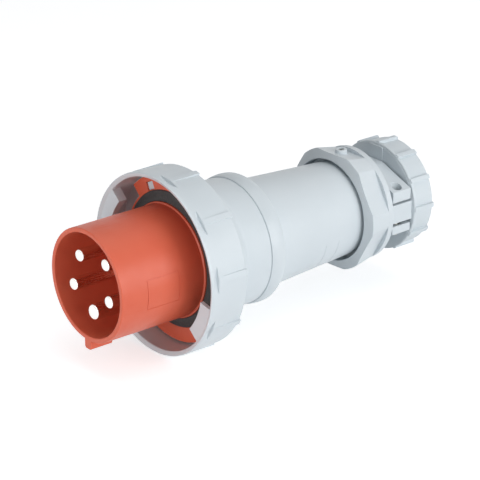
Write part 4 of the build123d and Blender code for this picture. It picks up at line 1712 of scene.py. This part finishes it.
def seen_directly(tree: bpy.types.NodeTree) -> bpy.types.NodeSocket:
    """Tell the camera's, gloss's and glass's view of a surface from the light that falls on it.

    Args:
        tree: The material's or the world's nodes.

    Returns:
        1 for such a view, 0 for light.
    """
    path = tree.nodes.new("ShaderNodeLightPath")
    share = path.outputs["Is Camera Ray"]
    for kind in ("Is Glossy Ray", "Is Transmission Ray"):
        either = tree.nodes.new("ShaderNodeMath")
        either.operation = "MAXIMUM"
        tree.links.new(share, either.inputs[0])
        tree.links.new(path.outputs[kind], either.inputs[1])
        share = either.outputs[0]
    return share


class Studio:
    """Camera, floor, lamps and the room's light."""

    camera_place = Vector((-0.727987, -1.019533, 0.543788))
    camera_aim = Vector((0.076322, -0.049965, 0.024944))
    sensor_width = 36.0
    lens = 173.257
    nearest = 0.05
    furthest = 50.0
    floor_side = 12.0
    floor_height = -0.0579
    floor_colour = from_srgb(236, 238, 240)
    floor_lift = 0.6
    room_level = 0.25
    room_colour = (0.985, 0.99, 1.0)
    lamps = (
        Lamp("side_lamp", (0.6, -1.42, 0.42), 1.0, 12.0),
        Lamp("top_lamp", (0.1, -0.15, 1.5), 1.2, 6.0),
        Lamp("low_lamp", (0.0, -1.4, 0.3), 0.7, 2.8),
        Lamp("front_lamp", (-0.7, -0.1, 0.03), 0.32, 2.6),
    )

    def build(self) -> None:
        """Set up everything round the object."""
        self.place_camera()
        self.light_room()
        self.lay_floor()
        for lamp in self.lamps:
            lamp.hang()

    def place_camera(self) -> None:
        """Stand the camera where the photograph was taken from."""
        data = bpy.data.cameras.new("photo_camera")
        data.sensor_width = self.sensor_width
        data.lens = self.lens
        data.clip_start = self.nearest
        data.clip_end = self.furthest
        bpy.context.scene.camera = stand("photo_camera", data, aimed(self.camera_place, self.camera_aim))

    def light_room(self) -> None:
        """Light everything evenly, and show plain white to the camera and in gloss and glass."""
        world = bpy.data.worlds.new("studio_room")
        bpy.context.scene.world = world
        world.use_nodes = True
        tree = world.node_tree
        tree.nodes.clear()
        output = tree.nodes.new("ShaderNodeOutputWorld")
        seen = tree.nodes.new("ShaderNodeBackground")
        seen.inputs["Color"].default_value = (1.0, 1.0, 1.0, 1.0)
        lit = tree.nodes.new("ShaderNodeBackground")
        lit.inputs["Color"].default_value = (*self.room_colour, 1.0)
        lit.inputs["Strength"].default_value = self.room_level
        mix = tree.nodes.new("ShaderNodeMixShader")
        tree.links.new(seen_directly(tree), mix.inputs["Fac"])
        tree.links.new(lit.outputs[0], mix.inputs[1])
        tree.links.new(seen.outputs[0], mix.inputs[2])
        tree.links.new(mix.outputs[0], output.inputs["Surface"])

    def lay_floor(self) -> None:
        """Lay a pale floor that shows the object's soft shadow."""
        bm = bmesh.new()
        bmesh.ops.create_grid(bm, x_segments=1, y_segments=1, size=self.floor_side / 2)
        bmesh.ops.translate(bm, vec=(0.0, 0.0, self.floor_height), verts=bm.verts)
        mesh = bpy.data.meshes.new("floor")
        bm.to_mesh(mesh)
        bm.free()
        floor = bpy.data.objects.new("floor", mesh)
        bpy.context.scene.collection.objects.link(floor)
        sheet = NodeSheet("pale_floor")
        matt = sheet.add("ShaderNodeBsdfDiffuse")
        matt.inputs["Color"].default_value = (*self.floor_colour, 1.0)
        glow = sheet.add("ShaderNodeEmission")
        glow.inputs["Strength"].default_value = self.floor_lift
        mix = sheet.add("ShaderNodeMixShader")
        both = sheet.add("ShaderNodeAddShader")
        sheet.link(matt.outputs[0], both.inputs[0])
        sheet.link(glow.outputs[0], both.inputs[1])
        sheet.link(seen_directly(sheet.tree), mix.inputs["Fac"])
        sheet.link(matt.outputs[0], mix.inputs[1])
        sheet.link(both.outputs[0], mix.inputs[2])
        sheet.link(mix.outputs[0], sheet.output.inputs["Surface"])
        mesh.materials.append(sheet.material)


def dress_inner_nodes(frame: dict, replaced: Iterable[str]) -> None:
    """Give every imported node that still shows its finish.

    Args:
        frame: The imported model.
        replaced: Names of the nodes that new pieces stand for.
    """
    slots = {part["node"]: Slot(part["material_slot"]) for part in frame["record"]["subparts"]}
    for name, node in frame["nodes"].items():
        if name not in replaced:
            node.data.materials.clear()
            node.data.materials.append(MATERIALS[slots[name]])
            log.info("dressed %s", name)


def main() -> None:
    """Build every sub-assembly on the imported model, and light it."""
    logging.basicConfig(level=logging.INFO, format="%(message)s")
    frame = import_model()
    bpy.context.scene.view_settings.view_transform = "Standard"
    Studio().build()
    MATERIALS.update({slot: finish.build() for slot, finish in FINISHES.items()})
    at = Places()
    for assembly in (ContactCarrier(at), ContactPins(at), Seals(), LockingRing(at), Housing(at),
                     GlandBody(at), LockScrew(at), CableClamp(at), GlandNut(at)):
        log.info("building %s", type(assembly).__name__)
        assembly.build()
    dress_inner_nodes(frame, REPLACED)


if __name__ == "__main__":
    main()
